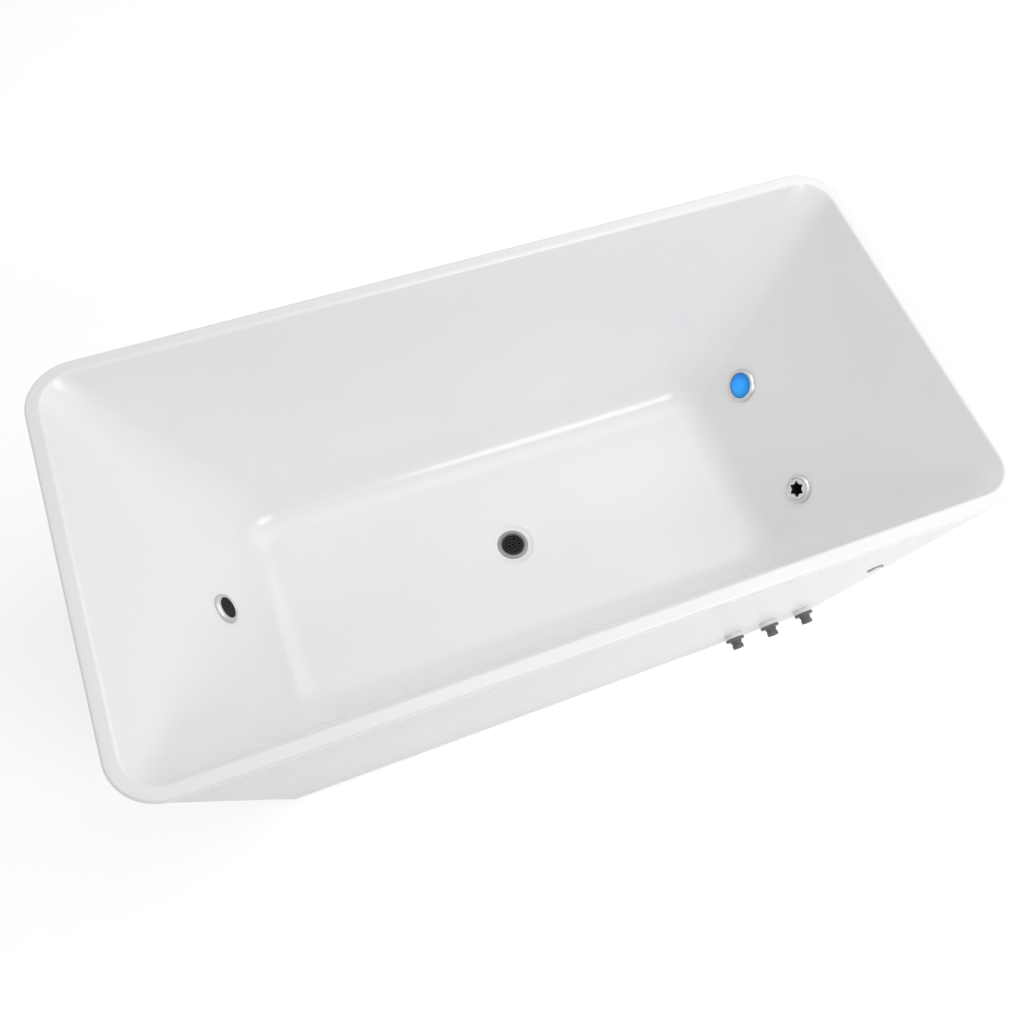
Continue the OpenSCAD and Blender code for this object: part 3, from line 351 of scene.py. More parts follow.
def mottle(material, dark, pale, spots, detail=4.0, coords=None):
    """Colour between two near tints along a noise with that many spots to the metre."""
    value = noise(material, coords, spots, detail)
    feed(material, "Base Color", ramp(material, value, dark, pale, 0.35, 0.65))


def grain(material, spots, height, low, high, detail=3.0, coords=None):
    """Bump of that height in metres and roughness from low to high, along one noise."""
    value = noise(material, coords, spots, detail)
    feed(material, "Roughness", spread_over(material, value, 0.3, 0.7, low, high))
    bump = wire(material, "ShaderNodeBump", {"Height": value, "Distance": height, "Strength": 1.0})
    feed(material, "Normal", bump.outputs["Normal"])


def white_acrylic(name, dark, pale, low, high):
    """White acrylic: a faint unevenness of tone, and a soft shine over a sheet that isn't quite
    flat."""
    material = blank(name, IOR=1.49, Specular_IOR_Level=0.75)
    mottle(material, dark, pale, 2.2, detail=2.0)
    grain(material, 30.0, 0.00001, low, high, detail=2.0)
    return material


def settle(piece, material, slot, body, *replaced):
    """Gives a piece its material and body, and hides the nodes it stands for; its slot is not
    used.
    """
    piece.data.materials.clear()
    piece.data.materials.append(material)
    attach(piece, body)
    if replaced:
        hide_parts(*replaced)
    return piece


def basin_grid():
    """The whole skin of the basin as one closed grid: up through the drain hole, out over the
    floor, up the walls, over the rim, down the lip and back under to the drain hole."""
    r = rim_inner_edge
    end_turn, side_turn = math.pi / 2 - end_slope, math.pi / 2 - side_slope
    tops = tub_h - r + r * math.cos(end_turn), tub_h - r + r * math.cos(side_turn)
    face, back = basin_wall(0.0, tops), basin_wall(shell_t, (under_z, under_z))
    # The floor's rows lie closer together by the drain and by the fillet.
    spread = np.append(np.linspace(0, 1, floor_steps + 1)[1:-1] ** 1.5, [0.95, 0.99])
    spread = spread[:, None, None]
    recess = np.array([
        (recess_r - recess_depth - recess_slope, recess_z),
        (recess_r - recess_depth, recess_z + 0.0004), (recess_r - 0.0005, floor_z - 0.0006),
        (recess_r + 0.0008, floor_z), (dish_r, floor_z)])
    dish = circles([dish_r], [floor_z])
    below = circles([drain_hole_r + drain_hole_margin], [floor_z - shell_t])
    left = np.linspace(1, 0, rounding_steps + 1)[1:]
    l = wall(tub_h - r, in_l, end_slope) + r / math.cos(end_slope)
    w = wall(tub_h - r, in_w, side_slope) + r / math.cos(side_slope)
    side_in = r * np.sin(left * side_turn)
    rounding = rings(l - r * np.sin(left * end_turn), w - side_in, in_corner + w - in_w - side_in,
                     tub_h - r + r * np.cos(left * end_turn),
                     tub_h - r + r * np.cos(left * side_turn))
    flat = np.linspace(0, 1, rim_steps + 1)[1:]
    top = rings(l + flat * (half_l - rim_edge - l), w + flat * (half_w - rim_edge - w),
                in_corner + w - in_w + flat * (rim_corner - rim_edge - in_corner - w + in_w),
                tub_h)
    fall = np.linspace(0, math.pi / 2, edge_steps + 1)[1:]
    inset = rim_edge * (1 - np.sin(fall))
    edge = rings(half_l - inset, half_w - inset, rim_corner - inset,
                 edge_z + rim_edge * np.cos(fall))
    lip = np.array([
        (lip_z + lip_edge, 0), (lip_z + 0.3 * lip_edge, 0.3 * lip_edge), (lip_z, lip_edge),
        (lip_z, lip_t - lip_back_edge), (lip_z + 2 * lip_back_edge, lip_t), (under_z, lip_t)])
    return np.concatenate([
        circles([drain_hole_r] * 2, [floor_z - shell_t, recess_z]),
        circles(*recess.T),
        (1 - spread) * dish + spread * face[:1],
        face, rounding, top, edge, skirt_rings(*lip.T), back[::-1],
        ((1 - spread) * below + spread * back[:1])[::-1],
        below])


acrylic = white_acrylic("gloss_white_acrylic", (0.925, 0.915, 0.919), (0.935, 0.926, 0.930),
                        0.16, 0.2)
suction_z, jet_z, light_z = 0.247, 0.230, 0.231
port_bezel_r, light_bezel_r, jet_side, light_side = 0.0325, 0.039, 0.0365, 0.0225
port_hole_r, light_hole_r = 0.025, 0.0315
drill_reach = 0.02


def from_corner(z, bezel_r, side):
    """Distance from the middle of an end wall to a fitting whose bezel ends that far short of
    where the wall starts to round into the side."""
    return wall(z, in_w, side_slope) - wall_corner(z) - bezel_r - side


def drill(place, radius, above=drill_reach):
    """Closed cylinder for cutting a round hole. It goes from drill_reach below a place to the
    given height above it."""
    low = -drill_reach
    return turned("drill", [(0, above), (radius, above), (radius, low), (0, low)], place, 0.0,
                  closed=False, steps=72)


suction_place = on_end(-1, 0.0, suction_z)
jet_place = on_end(1, -from_corner(jet_z, port_bezel_r, jet_side), jet_z)
light_place = on_end(1, from_corner(light_z, light_bezel_r, light_side), light_z)
basin = surface("basin", basin_grid(), close_rows=True)
smooth(bore(basin, [drill(suction_place, port_hole_r), drill(jet_place, port_hole_r),
                    drill(light_place, light_hole_r)]))
settle(basin, acrylic, "acrylic", "tub", "basin_shell")

# Skirt. The tapered outside, drawn from the same acrylic, glued into the lip of the rim. A
# shoulder below the lip leaves a fine dark seam.
shoulder_z, skirt_t, skirt_gap, skirt_tuck, joggle = 0.5785, 0.006, 0.004, 0.0055, 0.008
skirt_top = under_z - 0.0003
connector_end, connector_pitch, connector_z = 0.099, 0.088, 0.095
connector_x = foot_l - connector_end - 2 * connector_pitch + connector_pitch * np.arange(3)
connector_hole_r, button_hole_r, skirt_drill = 0.0125, 0.0145, 0.01
button_x, button_z = half_l - 0.220, 0.340
connector_places = [on_front(x, connector_z) for x in connector_x]
button_place = on_front(button_x, button_z)
skirt_face = reveal + skirt_t

# Height and inset of each row: up the back of the skirt, over its top and down its face, with the
# edges rounded by a millimetre or less.
skirt_rows = [
    (skirt_gap + 0.001, skirt_face), (shoulder_z - 2 * joggle, skirt_face),
    (shoulder_z - joggle, skirt_tuck + skirt_t), (skirt_top, skirt_tuck + skirt_t),
    (skirt_top, skirt_tuck), (shoulder_z, skirt_tuck), (shoulder_z, reveal + 0.001),
    (shoulder_z - 0.0003, reveal + 0.0003), (shoulder_z - 0.001, reveal),
    (0.4, reveal), (0.2, reveal), (skirt_gap + 0.0015, reveal),
    (skirt_gap + 0.0004, reveal + 0.0004), (skirt_gap, reveal + 0.0015),
    (skirt_gap, skirt_face - 0.001)]
skirt = surface("skirt", skirt_rings(*np.array(skirt_rows).T), close_rows=True)
smooth(bore(skirt, [drill(place, connector_hole_r, skirt_drill) for place in connector_places]
            + [drill(button_place, button_hole_r, skirt_drill)]))
settle(skirt, white_acrylic("skirt_acrylic", (0.915, 0.903, 0.905), (0.93, 0.919, 0.921),
                            0.42, 0.5), "acrylic", "tub", "outer_skirt")

# Drain. A polished stainless flange, pressed with a dished lip and screwed down through the floor
# over a moulded black strainer.
drain_top, drain_tail, strainer_z = 0.082, 0.015, 0.0845
flange_low = drain_top - drain_tail
flange_bore, thread_r, dish_shade_edge, flange_r = 0.022, 0.0245, 0.0345, 0.035


def polished_metal(name, dark, pale, low, high):
    """Turned and polished metal, with fine rings left by the polishing."""
    material = blank(name, Metallic=1.0)
    turning = wire(material, "ShaderNodeMapping",
                   {"Vector": wire(material, "ShaderNodeUVMap", {}, uv_map="turned").outputs["UV"],
                    "Scale": (3.0, 4000.0, 1.0)}).outputs["Vector"]
    mottle(material, dark, pale, 1.0, 2.0, turning)
    grain(material, 1.0, 0.000004, low, high, 2.0, turning)
    return material


chrome = polished_metal("polished_stainless", (0.66, 0.65, 0.655), (0.76, 0.75, 0.755), 0.24, 0.34)
satin = polished_metal("satin_stainless", (0.62, 0.61, 0.615), (0.72, 0.71, 0.715), 0.34, 0.45)


def metal_with_painted_dish_shade():
    """Satin metal with painted shade: its colour darkens evenly from the flange's edge down to the
    strainer, as the dish falls into shade.
    """
    material = blank("stainless_painted_dish_shade", Metallic=1.0)
    # The darkening towards the bore is painted shade in the dished recess, not the metal's own
    # colour.
    share = spread_over(material, axis_distance(material, own_place(material)), flange_bore,
                        dish_shade_edge)
    feed(material, "Base Color", ramp(material, share, (0.05, 0.05, 0.05), (0.34, 0.335, 0.33)))
    grain(material, 400.0, 0.000005, 0.35, 0.5)
    return material


flange = turned("drain_flange_ring", [
    (flange_bore, flange_low), (thread_r, flange_low), (thread_r, recess_z),
    (flange_r, recess_z), (flange_r, recess_z + 0.0012), (0.033, recess_z + 0.003),
    (0.027, recess_z + 0.003), (0.023, recess_z), (0.023, strainer_z), (flange_bore, strainer_z)],
    edge=0.0008, steps=128)
settle(flange, metal_with_painted_dish_shade(), "satin_metal", "tub", "drain_flange")


def moulded(name, dark, pale, low=0.35, high=0.55, height=0.00002, **sockets):
    """Moulded plastic or rubber, with a fine even grain from the mould."""
    material = blank(name, **sockets)
    mottle(material, dark, pale, 60.0)
    grain(material, 1500.0, height, low, high)
    return material


black_plastic = moulded("black_plastic", (0.009, 0.009, 0.01), (0.015, 0.015, 0.016),
                        Specular_IOR_Level=0.2)
grey_plastic = moulded("pale_grey_plastic", (0.42, 0.43, 0.43), (0.48, 0.49, 0.49))

# Suction port on the left end wall. A satin metal bezel snaps over the flange of the moulded
# body and holds a perforated black grille.
port_flange_r, bezel_low, suction_opening = 0.0295, 0.0065, 0.0228
fit_gap = 0.0001


def port_bezel(name, place, opening, outer, inner):
    """Domed metal ring round a port or the light, turned from the fitting's section."""
    section = [(opening, bezel_low), (opening, bezel_low + 0.0012),
               (opening + 0.0015, bezel_low + 0.0022), (outer - 0.006, bezel_low + 0.0022),
               (outer - 0.0026, bezel_low + 0.0012), (outer - 0.0007, bezel_low - 0.0014),
               (outer, bezel_low - 0.004), (outer, 0.0003), (inner, 0.0003), (inner, bezel_low)]
    return turned(name, section, place, edge=0.001, steps=128)


suction_ring = port_bezel("suction_ring", suction_place, suction_opening, port_bezel_r,
                          port_flange_r + fit_gap)
settle(suction_ring, satin, "satin_metal", "tub", "suction_bezel")

# Jet on the right end wall. Inside its bezel a metal face with a six-pointed star hole turns in
# front of a black nozzle with a fixed star, which throttles the flow.
port_top, insert_t, port_bore, face_r = 0.0045, 0.0018, 0.0215, 0.024
face_bore, face_depth, star_tip, star_root = 0.0199, 0.012, 0.0193, 0.0125
face_low, face_edge = port_top + fit_gap, 0.0012
jet_ring = port_bezel("jet_ring", jet_place, face_r + 0.0005, port_bezel_r,
                      port_flange_r + fit_gap)
settle(jet_ring, chrome, "satin_metal", "tub", "jet_bezel")


def star_radius(t):
    """Distance to a six-pointed star's outline at angle t: on each edge from a tip to a root 30
    degrees on, r = tip root sin 30 / (tip sin u + root sin(30 - u)), u the angle from the tip."""
    u = np.abs((t + np.pi / 6) % (np.pi / 3) - np.pi / 6)
    return star_tip * star_root * 0.5 / (star_tip * np.sin(u) + star_root * np.sin(np.pi / 6 - u))


def star_face():
    """Round face with the star cut through it, on a sleeve: circles on the outside and in the
    bore, and the star's outline round the hole."""
    t = circle(240)
    low, top = face_low, face_low + insert_t + 0.0024
    star = star_radius(t)
    sleeve_r, lug_r = port_bore - fit_gap / 2, face_r + 0.002
    rows = [(face_bore, low), (face_bore, -face_depth), (sleeve_r, -face_depth), (sleeve_r, low),
            (lug_r, low), (lug_r, low + insert_t), (face_r, low + insert_t),
            (face_r, top - 0.0011), (face_r - 0.0004, top - 0.0004), (face_r - face_edge, top)]
    rows += [((1 - s) * (face_r - face_edge) + s * (star + 0.0006), top)
             for s in (0.33, 0.66, 1.0)]
    rows += [(star + 0.00018, top - 0.00018), (star, top - 0.0006), (star, low)]
    r = np.array([row[0] + 0 * t for row in rows])
    z = np.array([row[1] for row in rows])[:, None]
    grid = round_points(r, t, z)[::-1]
    return smooth(surface("jet_star_face", placed(grid, jet_place), close_rows=True))


settle(star_face(), chrome, "polished_metal", "jet_face", "jet_face")

# Light on the right end wall. A domed lens, lit blue by a ring of diodes behind it, under a
# polished bezel.
lens_r, lens_low, lens_dome, light_flange_r = 0.029, port_top + fit_gap, 0.005, 0.0361
light_ring = port_bezel("light_ring", light_place, lens_r + 0.0003, light_bezel_r, light_flange_r)
settle(light_ring, chrome, "polished_metal", "tub", "light_bezel")
ball = (lens_r ** 2 + lens_dome ** 2) / (2 * lens_dome)
dome_t = np.linspace(0, math.asin(lens_r / ball), 16)
dome = np.column_stack([ball * np.sin(dome_t),
                        lens_low + insert_t + 0.003 + lens_dome - ball * (1 - np.cos(dome_t))])
lens = turned("lit_lens", np.concatenate([dome, [
    (lens_r, lens_low + insert_t), (lens_r + 0.003, lens_low + insert_t),
    (lens_r + 0.003, lens_low), (0, lens_low)]]), light_place, edge=0.0002, closed=False)


def lit_blue():
    """Blue glow through a frosted lens under a clear gloss: paler towards one side, and dimmer to
    its rim by the distance from the middle."""
    material = blank("lit_blue_lens", IOR=1.45, Base_Color=(0.002, 0.03, 0.12, 1))
    centred = wire(material, "ShaderNodeMapping",
                   {"Vector": own_place(material), "Location": tuple(light_place.translation),
                    "Rotation": tuple(light_place.to_euler())},
                   vector_type="TEXTURE").outputs["Vector"]
    axes = wire(material, "ShaderNodeSeparateXYZ", {"Vector": centred})
    across = spread_over(material, axes.outputs["Y"], -lens_r, lens_r)
    feed(material, "Emission Color", ramp(material, across, (0.02, 0.42, 0.95), (0.0, 0.27, 0.93)))
    feed(material, "Emission Strength", spread_over(
        material, axis_distance(material, centred), 0.4 * lens_r, lens_r, 0.95, 0.4))
    grain(material, 900.0, 0.00001, 0.2, 0.3)
    return material


settle(lens, lit_blue(), "light_lens", "tub", "light_lens")

# Hose connectors. Three moulded grey bodies with a flange and a grooved spigot stand on white
# collars on the skirt. Each holds a sprung poppet that a hose coupling pushes in to open.
connector_plastic = moulded("connector_grey", (0.12, 0.12, 0.122), (0.15, 0.15, 0.152), 0.35, 0.5)
collar_plastic = moulded("collar_white", (0.8, 0.79, 0.795), (0.84, 0.83, 0.835), 0.4, 0.5)
poppet_plastic = moulded("poppet_black", (0.02, 0.02, 0.022), (0.03, 0.03, 0.032))

# Sections of the connectors and the button, in millimetres: radius and height over the skirt.
connector_section = np.array([
    (12, -38), (12, 10.5), (21, 10.5), (21, 15), (20, 16), (12.5, 16), (12.5, 21), (10.9, 21),
    (10.9, 25), (12.5, 25), (12.5, 33), (11.5, 34), (6.5, 34), (6.5, 28), (9, 26),
    (9, -38)]) / 1000
collar_section = np.array([(12.1, 1.5), (12.1, 10.5), (20, 10.5), (21, 9.5), (21, 1.5)]) / 1000
poppet_section = np.array([
    (0, 33), (4.5, 33), (4.5, 27.2), (5.9, 27.2), (8.4, 25.6), (8.4, 22), (3, 22), (3, -10),
    (0, -10)]) / 1000


def joined(name, pieces):
    """One piece from several: their points and faces, one after the other."""
    mesh = bmesh.new()
    for piece in pieces:
        mesh.from_mesh(piece.data)
        bpy.data.objects.remove(piece)
    whole = bpy.data.meshes.new(name)
    mesh.to_mesh(whole)
    mesh.free()
    return smooth(put(name, whole))


bodies = joined("hose_connectors", [
    turned("connector", connector_section, place, 0.0007) for place in connector_places])
settle(bodies, connector_plastic, "connector_plastic", "tub", "connector_bodies")
collars = joined("spigot_collars", [
    turned("collar", collar_section, place, 0.0006) for place in connector_places])
settle(collars, collar_plastic, "collar_plastic", "tub", "connector_collars")
uses = "drain", "suction", "return"
for place, use in zip(connector_places, uses):
    settle(turned(f"{use}_poppet", poppet_section, place, 0.0004, closed=False, steps=64),
           poppet_plastic, "poppet_plastic", f"poppet_{use}", f"poppet_{use}")

# Light button in the skirt. A dark ring screwed through the skirt, with a metal cap that clicks.
button_section = np.array([
    (18, 0), (17, 3), (11.55, 3), (11.55, -0.1), (12.55, -0.3), (12.55, -22), (14, -22),
    (14, 0)]) / 1000
cap_section = np.array([
    (0, 4.5), (10, 4.5), (11.5, 3), (11.5, -0.3), (12.5, -0.3), (12.5, -8), (9.5, -8), (9.5, -1),
    (0, -1)]) / 1000
button_ring = moulded("button_ring_grey", (0.3, 0.3, 0.305), (0.36, 0.36, 0.365))
settle(turned("button_ring", button_section, button_place, 0.0006),
       button_ring, "button_ring", "tub", "button_bezel")
settle(turned("button_cap_disc", cap_section, button_place, 0.0008, closed=False),
       satin, "button_metal", "button_cap", "button_cap")

# Springs. Coils of stainless wire, one behind each poppet and one behind the button's cap.
spring_steel = blank("spring_steel", Metallic=1.0)
mottle(spring_steel, (0.5, 0.5, 0.5), (0.62, 0.62, 0.62), 200.0)
grain(spring_steel, 1500.0, 0.000005, 0.25, 0.4)
spring_wire_r, spring_turns = 0.0008, 6


def tube(name, path, outer, inner=None, sides=24):
    """Round tube or rod along a path: centre + r (side cos t + (side x ahead) sin t), where side
    is carried along without twisting. A tube has a bore and flat ends, a rod has closed ends."""
    path = np.array(path, float)
    ahead = np.gradient(path, axis=0)
    ahead /= np.linalg.norm(ahead, axis=1, keepdims=True)
    side = np.zeros_like(path)
    last = np.cross(ahead[0], (0.31, 0.52, 0.79))
    for i, direction in enumerate(ahead):
        last = last - direction * (last @ direction)
        last = last / np.linalg.norm(last)
        side[i] = last
    t = circle(sides)[None, :, None]
    turn = side[:, None] * np.cos(t) + np.cross(side, ahead)[:, None] * np.sin(t)
    centre = path[:, None]
    if inner:
        grid = np.concatenate([centre + outer * turn, (centre + inner * turn)[::-1]])
    else:
        grid = np.concatenate([centre[:1] + 0 * turn[:1], centre + outer * turn,
                               centre[-1:] + 0 * turn[:1]])
    piece = surface(name, grid, close_rows=bool(inner))
    if not inner:
        weld(piece)
    return smooth(piece, 40.0)


def spring(name, place, low, height, mean_r):
    """Helix (r cos a, r sin a, z) whose height z grows evenly with the angle a."""
    share = np.linspace(0, 1, 28 * spring_turns + 1)
    path = round_points(mean_r, 2 * np.pi * spring_turns * share,
                        low + spring_wire_r + (height - 2 * spring_wire_r) * share)
    piece = tube(f"{name}_coil", placed(path, place), spring_wire_r, sides=10)
    settle(piece, spring_steel, "spring_steel", "tub", name)
    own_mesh(piece)


for place, use in zip(connector_places, uses):
    spring(f"valve_spring_{use}", place, 0.0043, 0.0114, 0.006)
spring("button_spring", button_place, -0.0177, 0.0164, 0.007)

# Hoses and cables. Smooth grey PVC hoses run from the drain and the ports to the elbows on the
# connectors, inside the skirt. Black cables join the light and the button to their driver.
hose_r, hose_bore, cable_r = 0.0135, 0.0103, 0.003
barb_depth, barb_end, elbow_axis, elbow_r, elbow_gap = 0.0442, 0.0265, 0.0442, 0.0155, 0.002
elbow_end = elbow_r + elbow_gap
hose_grip, hose_turn, hose_margin = 0.032, 0.130, 0.0203
driver_mid, driver_half, gland = np.array([0.595, -0.170, 0.079]), 0.055, 0.014
light_tail, button_tail, lead_x, lead_z, lead_off = 0.044, 0.0221, 0.645, 0.480, 0.029
hose_pvc = moulded("hose_pvc", (0.5, 0.52, 0.52), (0.58, 0.6, 0.6), 0.25, 0.4)
rubber = moulded("rubber", (0.012, 0.012, 0.012), (0.02, 0.02, 0.02), 0.6, 0.8)


def bend(a, p, b, q, steps=40):
    """Cubic from a to b that leaves along p and arrives along q:
    (1-s)^3 a + 3 (1-s)^2 s (a+p) + 3 (1-s) s^2 (b-q) + s^3 b."""
    s = np.linspace(0, 1, steps)[:, None]
    a, p, b, q = (np.asarray(v, float) for v in (a, p, b, q))
    return ((1 - s) ** 3 * a + 3 * (1 - s) ** 2 * s * (a + p) + 3 * (1 - s) * s ** 2 * (b - q)
            + s ** 3 * b)


def at(place, depth):
    """Point on a place's own Z, that deep behind its surface."""
    return np.array(place @ Vector((0, 0, -depth)))


def inward(place, length):
    """Way of that length straight in behind a place."""
    return at(place, length) - at(place, 0.0)


front_way, right_way = np.array([0.0, -1.0, 0.0]), np.array([1.0, 0.0, 0.0])
skirt_up = np.array([0.0, -math.sin(skirt_lean), math.cos(skirt_lean)])
turn = 0.58 * hose_turn
elbows = [at(place, elbow_axis) for place in connector_places]
drain_start = np.array([0, -0.0335, 0.046])
drain_end = elbows[0] - elbow_end * right_way
drain_route = np.concatenate([
    [drain_start], bend(drain_start + hose_grip * front_way, 1.12 * hose_turn * front_way,
                        drain_end - hose_grip * right_way, 1.46 * hose_turn * right_way),
    [drain_end]])
port_low = at(suction_place, barb_depth)
run_y = (foot_w + (half_w - foot_w) * port_low[2] / edge_z - reveal - skirt_t
         + wall(port_low[2], in_w, side_slope, shell_t + hose_margin)) / 2
run_start, run_end = port_low[0] + hose_turn, elbows[1][0] - 0.7 * hose_turn
suction_end = elbows[1] + elbow_end * skirt_up
suction_route = np.concatenate([
    [port_low + barb_end * front_way],
    bend((port_low[0], -run_y + hose_turn, port_low[2]), turn * front_way,
         (run_start, -run_y, port_low[2]), turn * right_way),
    bend((run_end, -run_y, port_low[2]), 0.7 * turn * right_way,
         suction_end + hose_grip * skirt_up, -0.5 * turn * skirt_up), [suction_end]])
return_start = at(jet_place, barb_depth) + barb_end * front_way
return_end = elbows[2] + elbow_end * skirt_up
return_route = np.concatenate([
    [return_start], bend(return_start + hose_grip * front_way, turn * front_way,
                         return_end + hose_grip * skirt_up, -0.8 * turn * skirt_up),
    [return_end]])
for use, route in zip(uses, (drain_route, suction_route, return_route)):
    settle(tube(f"{use}_pipe", route, hose_r, hose_bore), hose_pvc, "hose", "tub", f"{use}_hose")

light_end, button_end = (driver_mid + np.array([0, side * driver_half, 0]) for side in (1, -1))
light_route = np.concatenate([
    [at(light_place, light_tail)],
    bend(at(light_place, light_tail + 0.012), inward(light_place, 0.045),
         light_end - gland * front_way, (0, -0.150, 0)), [light_end]])
button_top = np.array([lead_x, lead_off - foot_w - (half_w - foot_w) * lead_z / edge_z, lead_z])
button_route = np.concatenate([
    [at(button_place, button_tail)],
    bend(at(button_place, button_tail + 0.004), inward(button_place, 0.022), button_top,
         (0, 0, -0.090)),
    bend(button_top, (0, 0, -0.0675), button_end + gland * front_way, (0, 0.045, 0))[1:],
    [button_end]])
for use, route in (("light", light_route), ("button", button_route)):
    settle(tube(f"{use}_lead", route, cable_r, sides=16), rubber, "cable_sheath", "tub",
           f"{use}_cable")

# Feet. Nylon pads moulded on threaded zinc-plated studs, with a spanner hexagon over the pad.
pad_r, pad_top, foot_x, foot_y = 0.025, 0.012, 0.55, 0.25
stud_r, stud_low, stud_top, stud_pitch, thread_depth = 0.006, 0.018, 0.072, 0.00175, 0.0006
foot_nylon = moulded("foot_black", (0.014, 0.014, 0.015), (0.022, 0.022, 0.023))
zinc = blank("zinc_plate", Metallic=1.0)
mottle(zinc, (0.52, 0.53, 0.54), (0.66, 0.67, 0.68), 90.0)
grain(zinc, 500.0, 0.00001, 0.3, 0.5)


def stud(name, x, y):
    """Threaded rod: at height z and angle t its radius is stud_r - depth |2 f - 1|, with f the
    fraction of z / pitch - t / 360 degrees."""
    t = circle(48)
    z = np.linspace(stud_low, stud_top, 250)[:, None]
    thread = np.abs(2 * ((z / stud_pitch - t / (2 * np.pi)) % 1.0) - 1)
    r = stud_r - thread_depth * thread
    r = np.concatenate([0 * r[:1], r, 0 * r[:1]])
    z = np.concatenate([z[:1], z, z[-1:]])
    piece = surface(name, round_points(r, t, z, x, y)[::-1])
    weld(piece)
    return smooth(piece, 50.0)


def pad(name, x, y):
    """Nylon pad turned round its axis, with the hexagon r = apothem / cos(t) over it."""
    t = circle(96)
    profile = soften([(0, pad_top), (0.012, pad_top), (pad_r - 0.001, 0.004), (pad_r, 0.0006),
                      (pad_r - 0.0006, 0), (0, 0)], 0.0008, closed=False)
    apothem = 1.8 * stud_r * math.cos(math.pi / 6)
    hexagon = apothem / np.cos((t + np.pi / 6) % (np.pi / 3) - np.pi / 6)
    r = np.concatenate([np.array([[0], [1], [1]]) * hexagon, profile[1:, :1] + 0 * t])
    z = np.concatenate([[stud_low, stud_low, pad_top], profile[1:, 1]])[:, None]
    piece = surface(name, round_points(r, t, z, x, y))
    weld(piece)
    return smooth(piece)


for side_x, at_x in ((-foot_x, "left"), (foot_x, "right")):
    for side_y, at_y in ((-foot_y, "front"), (foot_y, "back")):
        foot = f"foot_{at_y}_{at_x}"
        settle(pad(f"{foot}_pad", side_x, side_y), foot_nylon, "foot_nylon", foot, foot)
        settle(stud(f"{foot}_stud", side_x, side_y), zinc, "zinc_steel", foot)

# Frame, board, foam and small fittings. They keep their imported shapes, in powder-coated steel,
# sealed board and timber, closed-cell foam, moulded plastic and metal.
powder_coat = moulded("powder_coat", (0.16, 0.17, 0.18), (0.2, 0.21, 0.22), 0.4, 0.55, 0.00004)
timber = moulded("sealed_timber", (0.3, 0.17, 0.08), (0.42, 0.26, 0.13), 0.5, 0.7)
board = moulded("sealed_board", (0.34, 0.22, 0.11), (0.46, 0.32, 0.18), 0.45, 0.7)
silicone = moulded("white_silicone", (0.7, 0.69, 0.695), (0.76, 0.75, 0.755), 0.45, 0.6)
foam = moulded("yellow_foam", (0.52, 0.43, 0.22), (0.62, 0.53, 0.3), 0.8, 0.95)
circuit = moulded("circuit_green", (0.01, 0.12, 0.05), (0.015, 0.16, 0.07))
finishes = {
    "board": board, "foam": foam, "frame_steel": powder_coat, "timber": timber,
    "zinc_steel": zinc, "black_plastic": black_plastic, "grey_plastic": grey_plastic,
    "gasket": rubber, "circuit": circuit, "driver_case": black_plastic, "button_metal": satin}

# The gaskets under the connectors' white collars are silicone, and all others rubber.
special = {"connector_gaskets": silicone}

# Width of the rounding where edges are sawn or welded. The side rails keep sharp edges and flat
# faces, because slivers in their mesh would turn a rounding or smooth normals into grooves.
rounded = {"frame_end_rails": 0.003, "frame_bearers": 0.003, "foot_plates": 0.001,
           "baseboard": 0.0015, "skirt_blocks": 0.002, "light_driver": 0.002}
for part in frame["record"]["subparts"]:
    node = frame["nodes"][part["node"]]
    if node.hide_render:
        continue
    node.data.materials.clear()
    node.data.materials.append(special.get(part["node"]) or finishes[part["material_slot"]])
    if part["node"] == "frame_side_rails":
        node.data.attributes.remove(node.data.attributes["custom_normal"])
        node.data.shade_flat()
    if part["node"] in rounded:
        node.modifiers.new("weld", "WELD").merge_threshold = 0.00001
        edge = node.modifiers.new("edges", "BEVEL")
        edge.width, edge.segments, edge.limit_method = rounded[part["node"]], 3, "ANGLE"
        edge.angle_limit = math.radians(40)

# Floor and lights. Floor and sky are white to the camera, in mirrors and through clear pieces, and
# light the tub less strongly than they look.
floor_size, floor_glow, sky_strength = 9.0, 0.41, 0.465


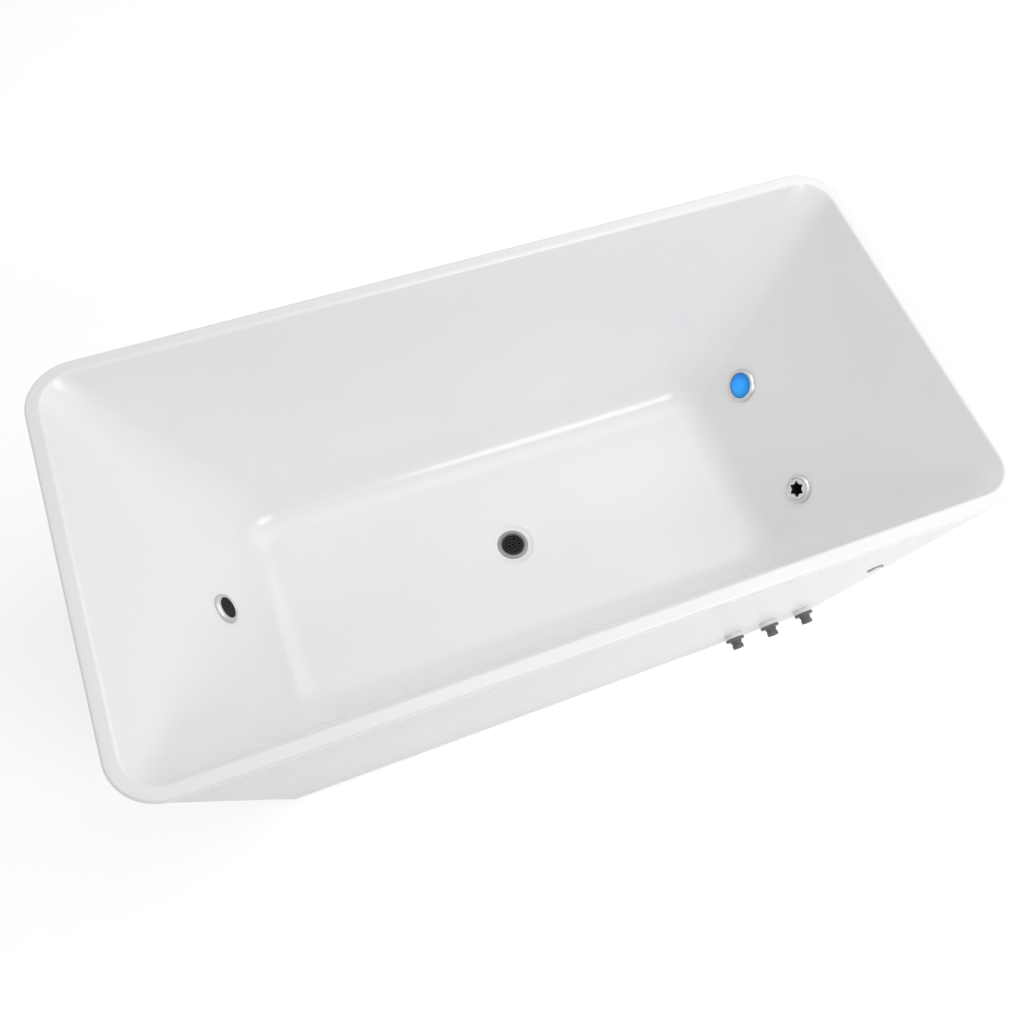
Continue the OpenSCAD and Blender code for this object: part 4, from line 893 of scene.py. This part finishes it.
def seen(owner):
    """1 for rays from the camera, off gloss and through clear pieces, 0 for all others."""
    path = wire(owner, "ShaderNodeLightPath", {}).outputs
    either = wire(owner, "ShaderNodeMath", {0: path["Is Camera Ray"], 1: path["Is Glossy Ray"]},
                  operation="MAXIMUM")
    return wire(owner, "ShaderNodeMath", {0: either.outputs[0], 1: path["Is Transmission Ray"]},
                operation="MAXIMUM").outputs[0]


ends = [-floor_size, floor_size]
floor = surface("floor", np.stack(np.meshgrid(ends, ends, [0.0], indexing="ij"), -1)[:, :, 0],
                close_ring=False)
paper = blank("white_floor", Roughness=0.9, Base_Color=(0.88, 0.88, 0.88, 1))
glow = wire(paper, "ShaderNodeMath", {0: seen(paper), 1: floor_glow}, operation="MULTIPLY")
shader(paper).inputs["Emission Color"].default_value = (1, 1, 1, 1)
feed(paper, "Emission Strength", glow.outputs[0])
floor.data.materials.append(paper)

world = bpy.data.worlds.new("studio")
world.use_nodes = True
bpy.context.scene.world = world
sky = world.node_tree.nodes["Background"]
sky.inputs["Color"].default_value = (1, 1, 1, 1)
world.node_tree.links.new(spread_over(world, seen(world), 0.0, 1.0, sky_strength, 1.0),
                          sky.inputs["Strength"])


def softbox(name, stand, towards, size, power, shape="RECTANGLE"):
    """Area lamp of that size in metres and power in watts, that faces a point."""
    lamp = bpy.data.lights.new(name, "AREA")
    lamp.shape, lamp.size, lamp.size_y, lamp.energy = shape, size[0], size[1], power
    holder = put(name, lamp)
    holder.location = stand
    holder.rotation_euler = (Vector(stand) - Vector(towards)).to_track_quat("Z", "Y").to_euler()


softbox("overhead", (0.0, 0.2, 3.2), (0.0, 0.2, 0.0), (3.2, 2.6), 11.7)
softbox("top_right", (1.45, 0.75, 2.9), (0.3, 0.1, 0.1), (2.0, 3.8), 11.9)
softbox("right", (2.7, 0.4, 2.7), (0.2, 0.1, 0.1), (3.4, 3.0), 18.1)
softbox("low_right", (1.4, -2.0, 0.6), (0.4, -0.36, 0.25), (1.2, 0.7), 2.2)
softbox("front_high", (1.2, -2.2, 2.35), (0.55, 0.3, 0.2), (2.0, 1.3), 23.6, "ELLIPSE")

bpy.context.scene.view_settings.view_transform = "Standard"
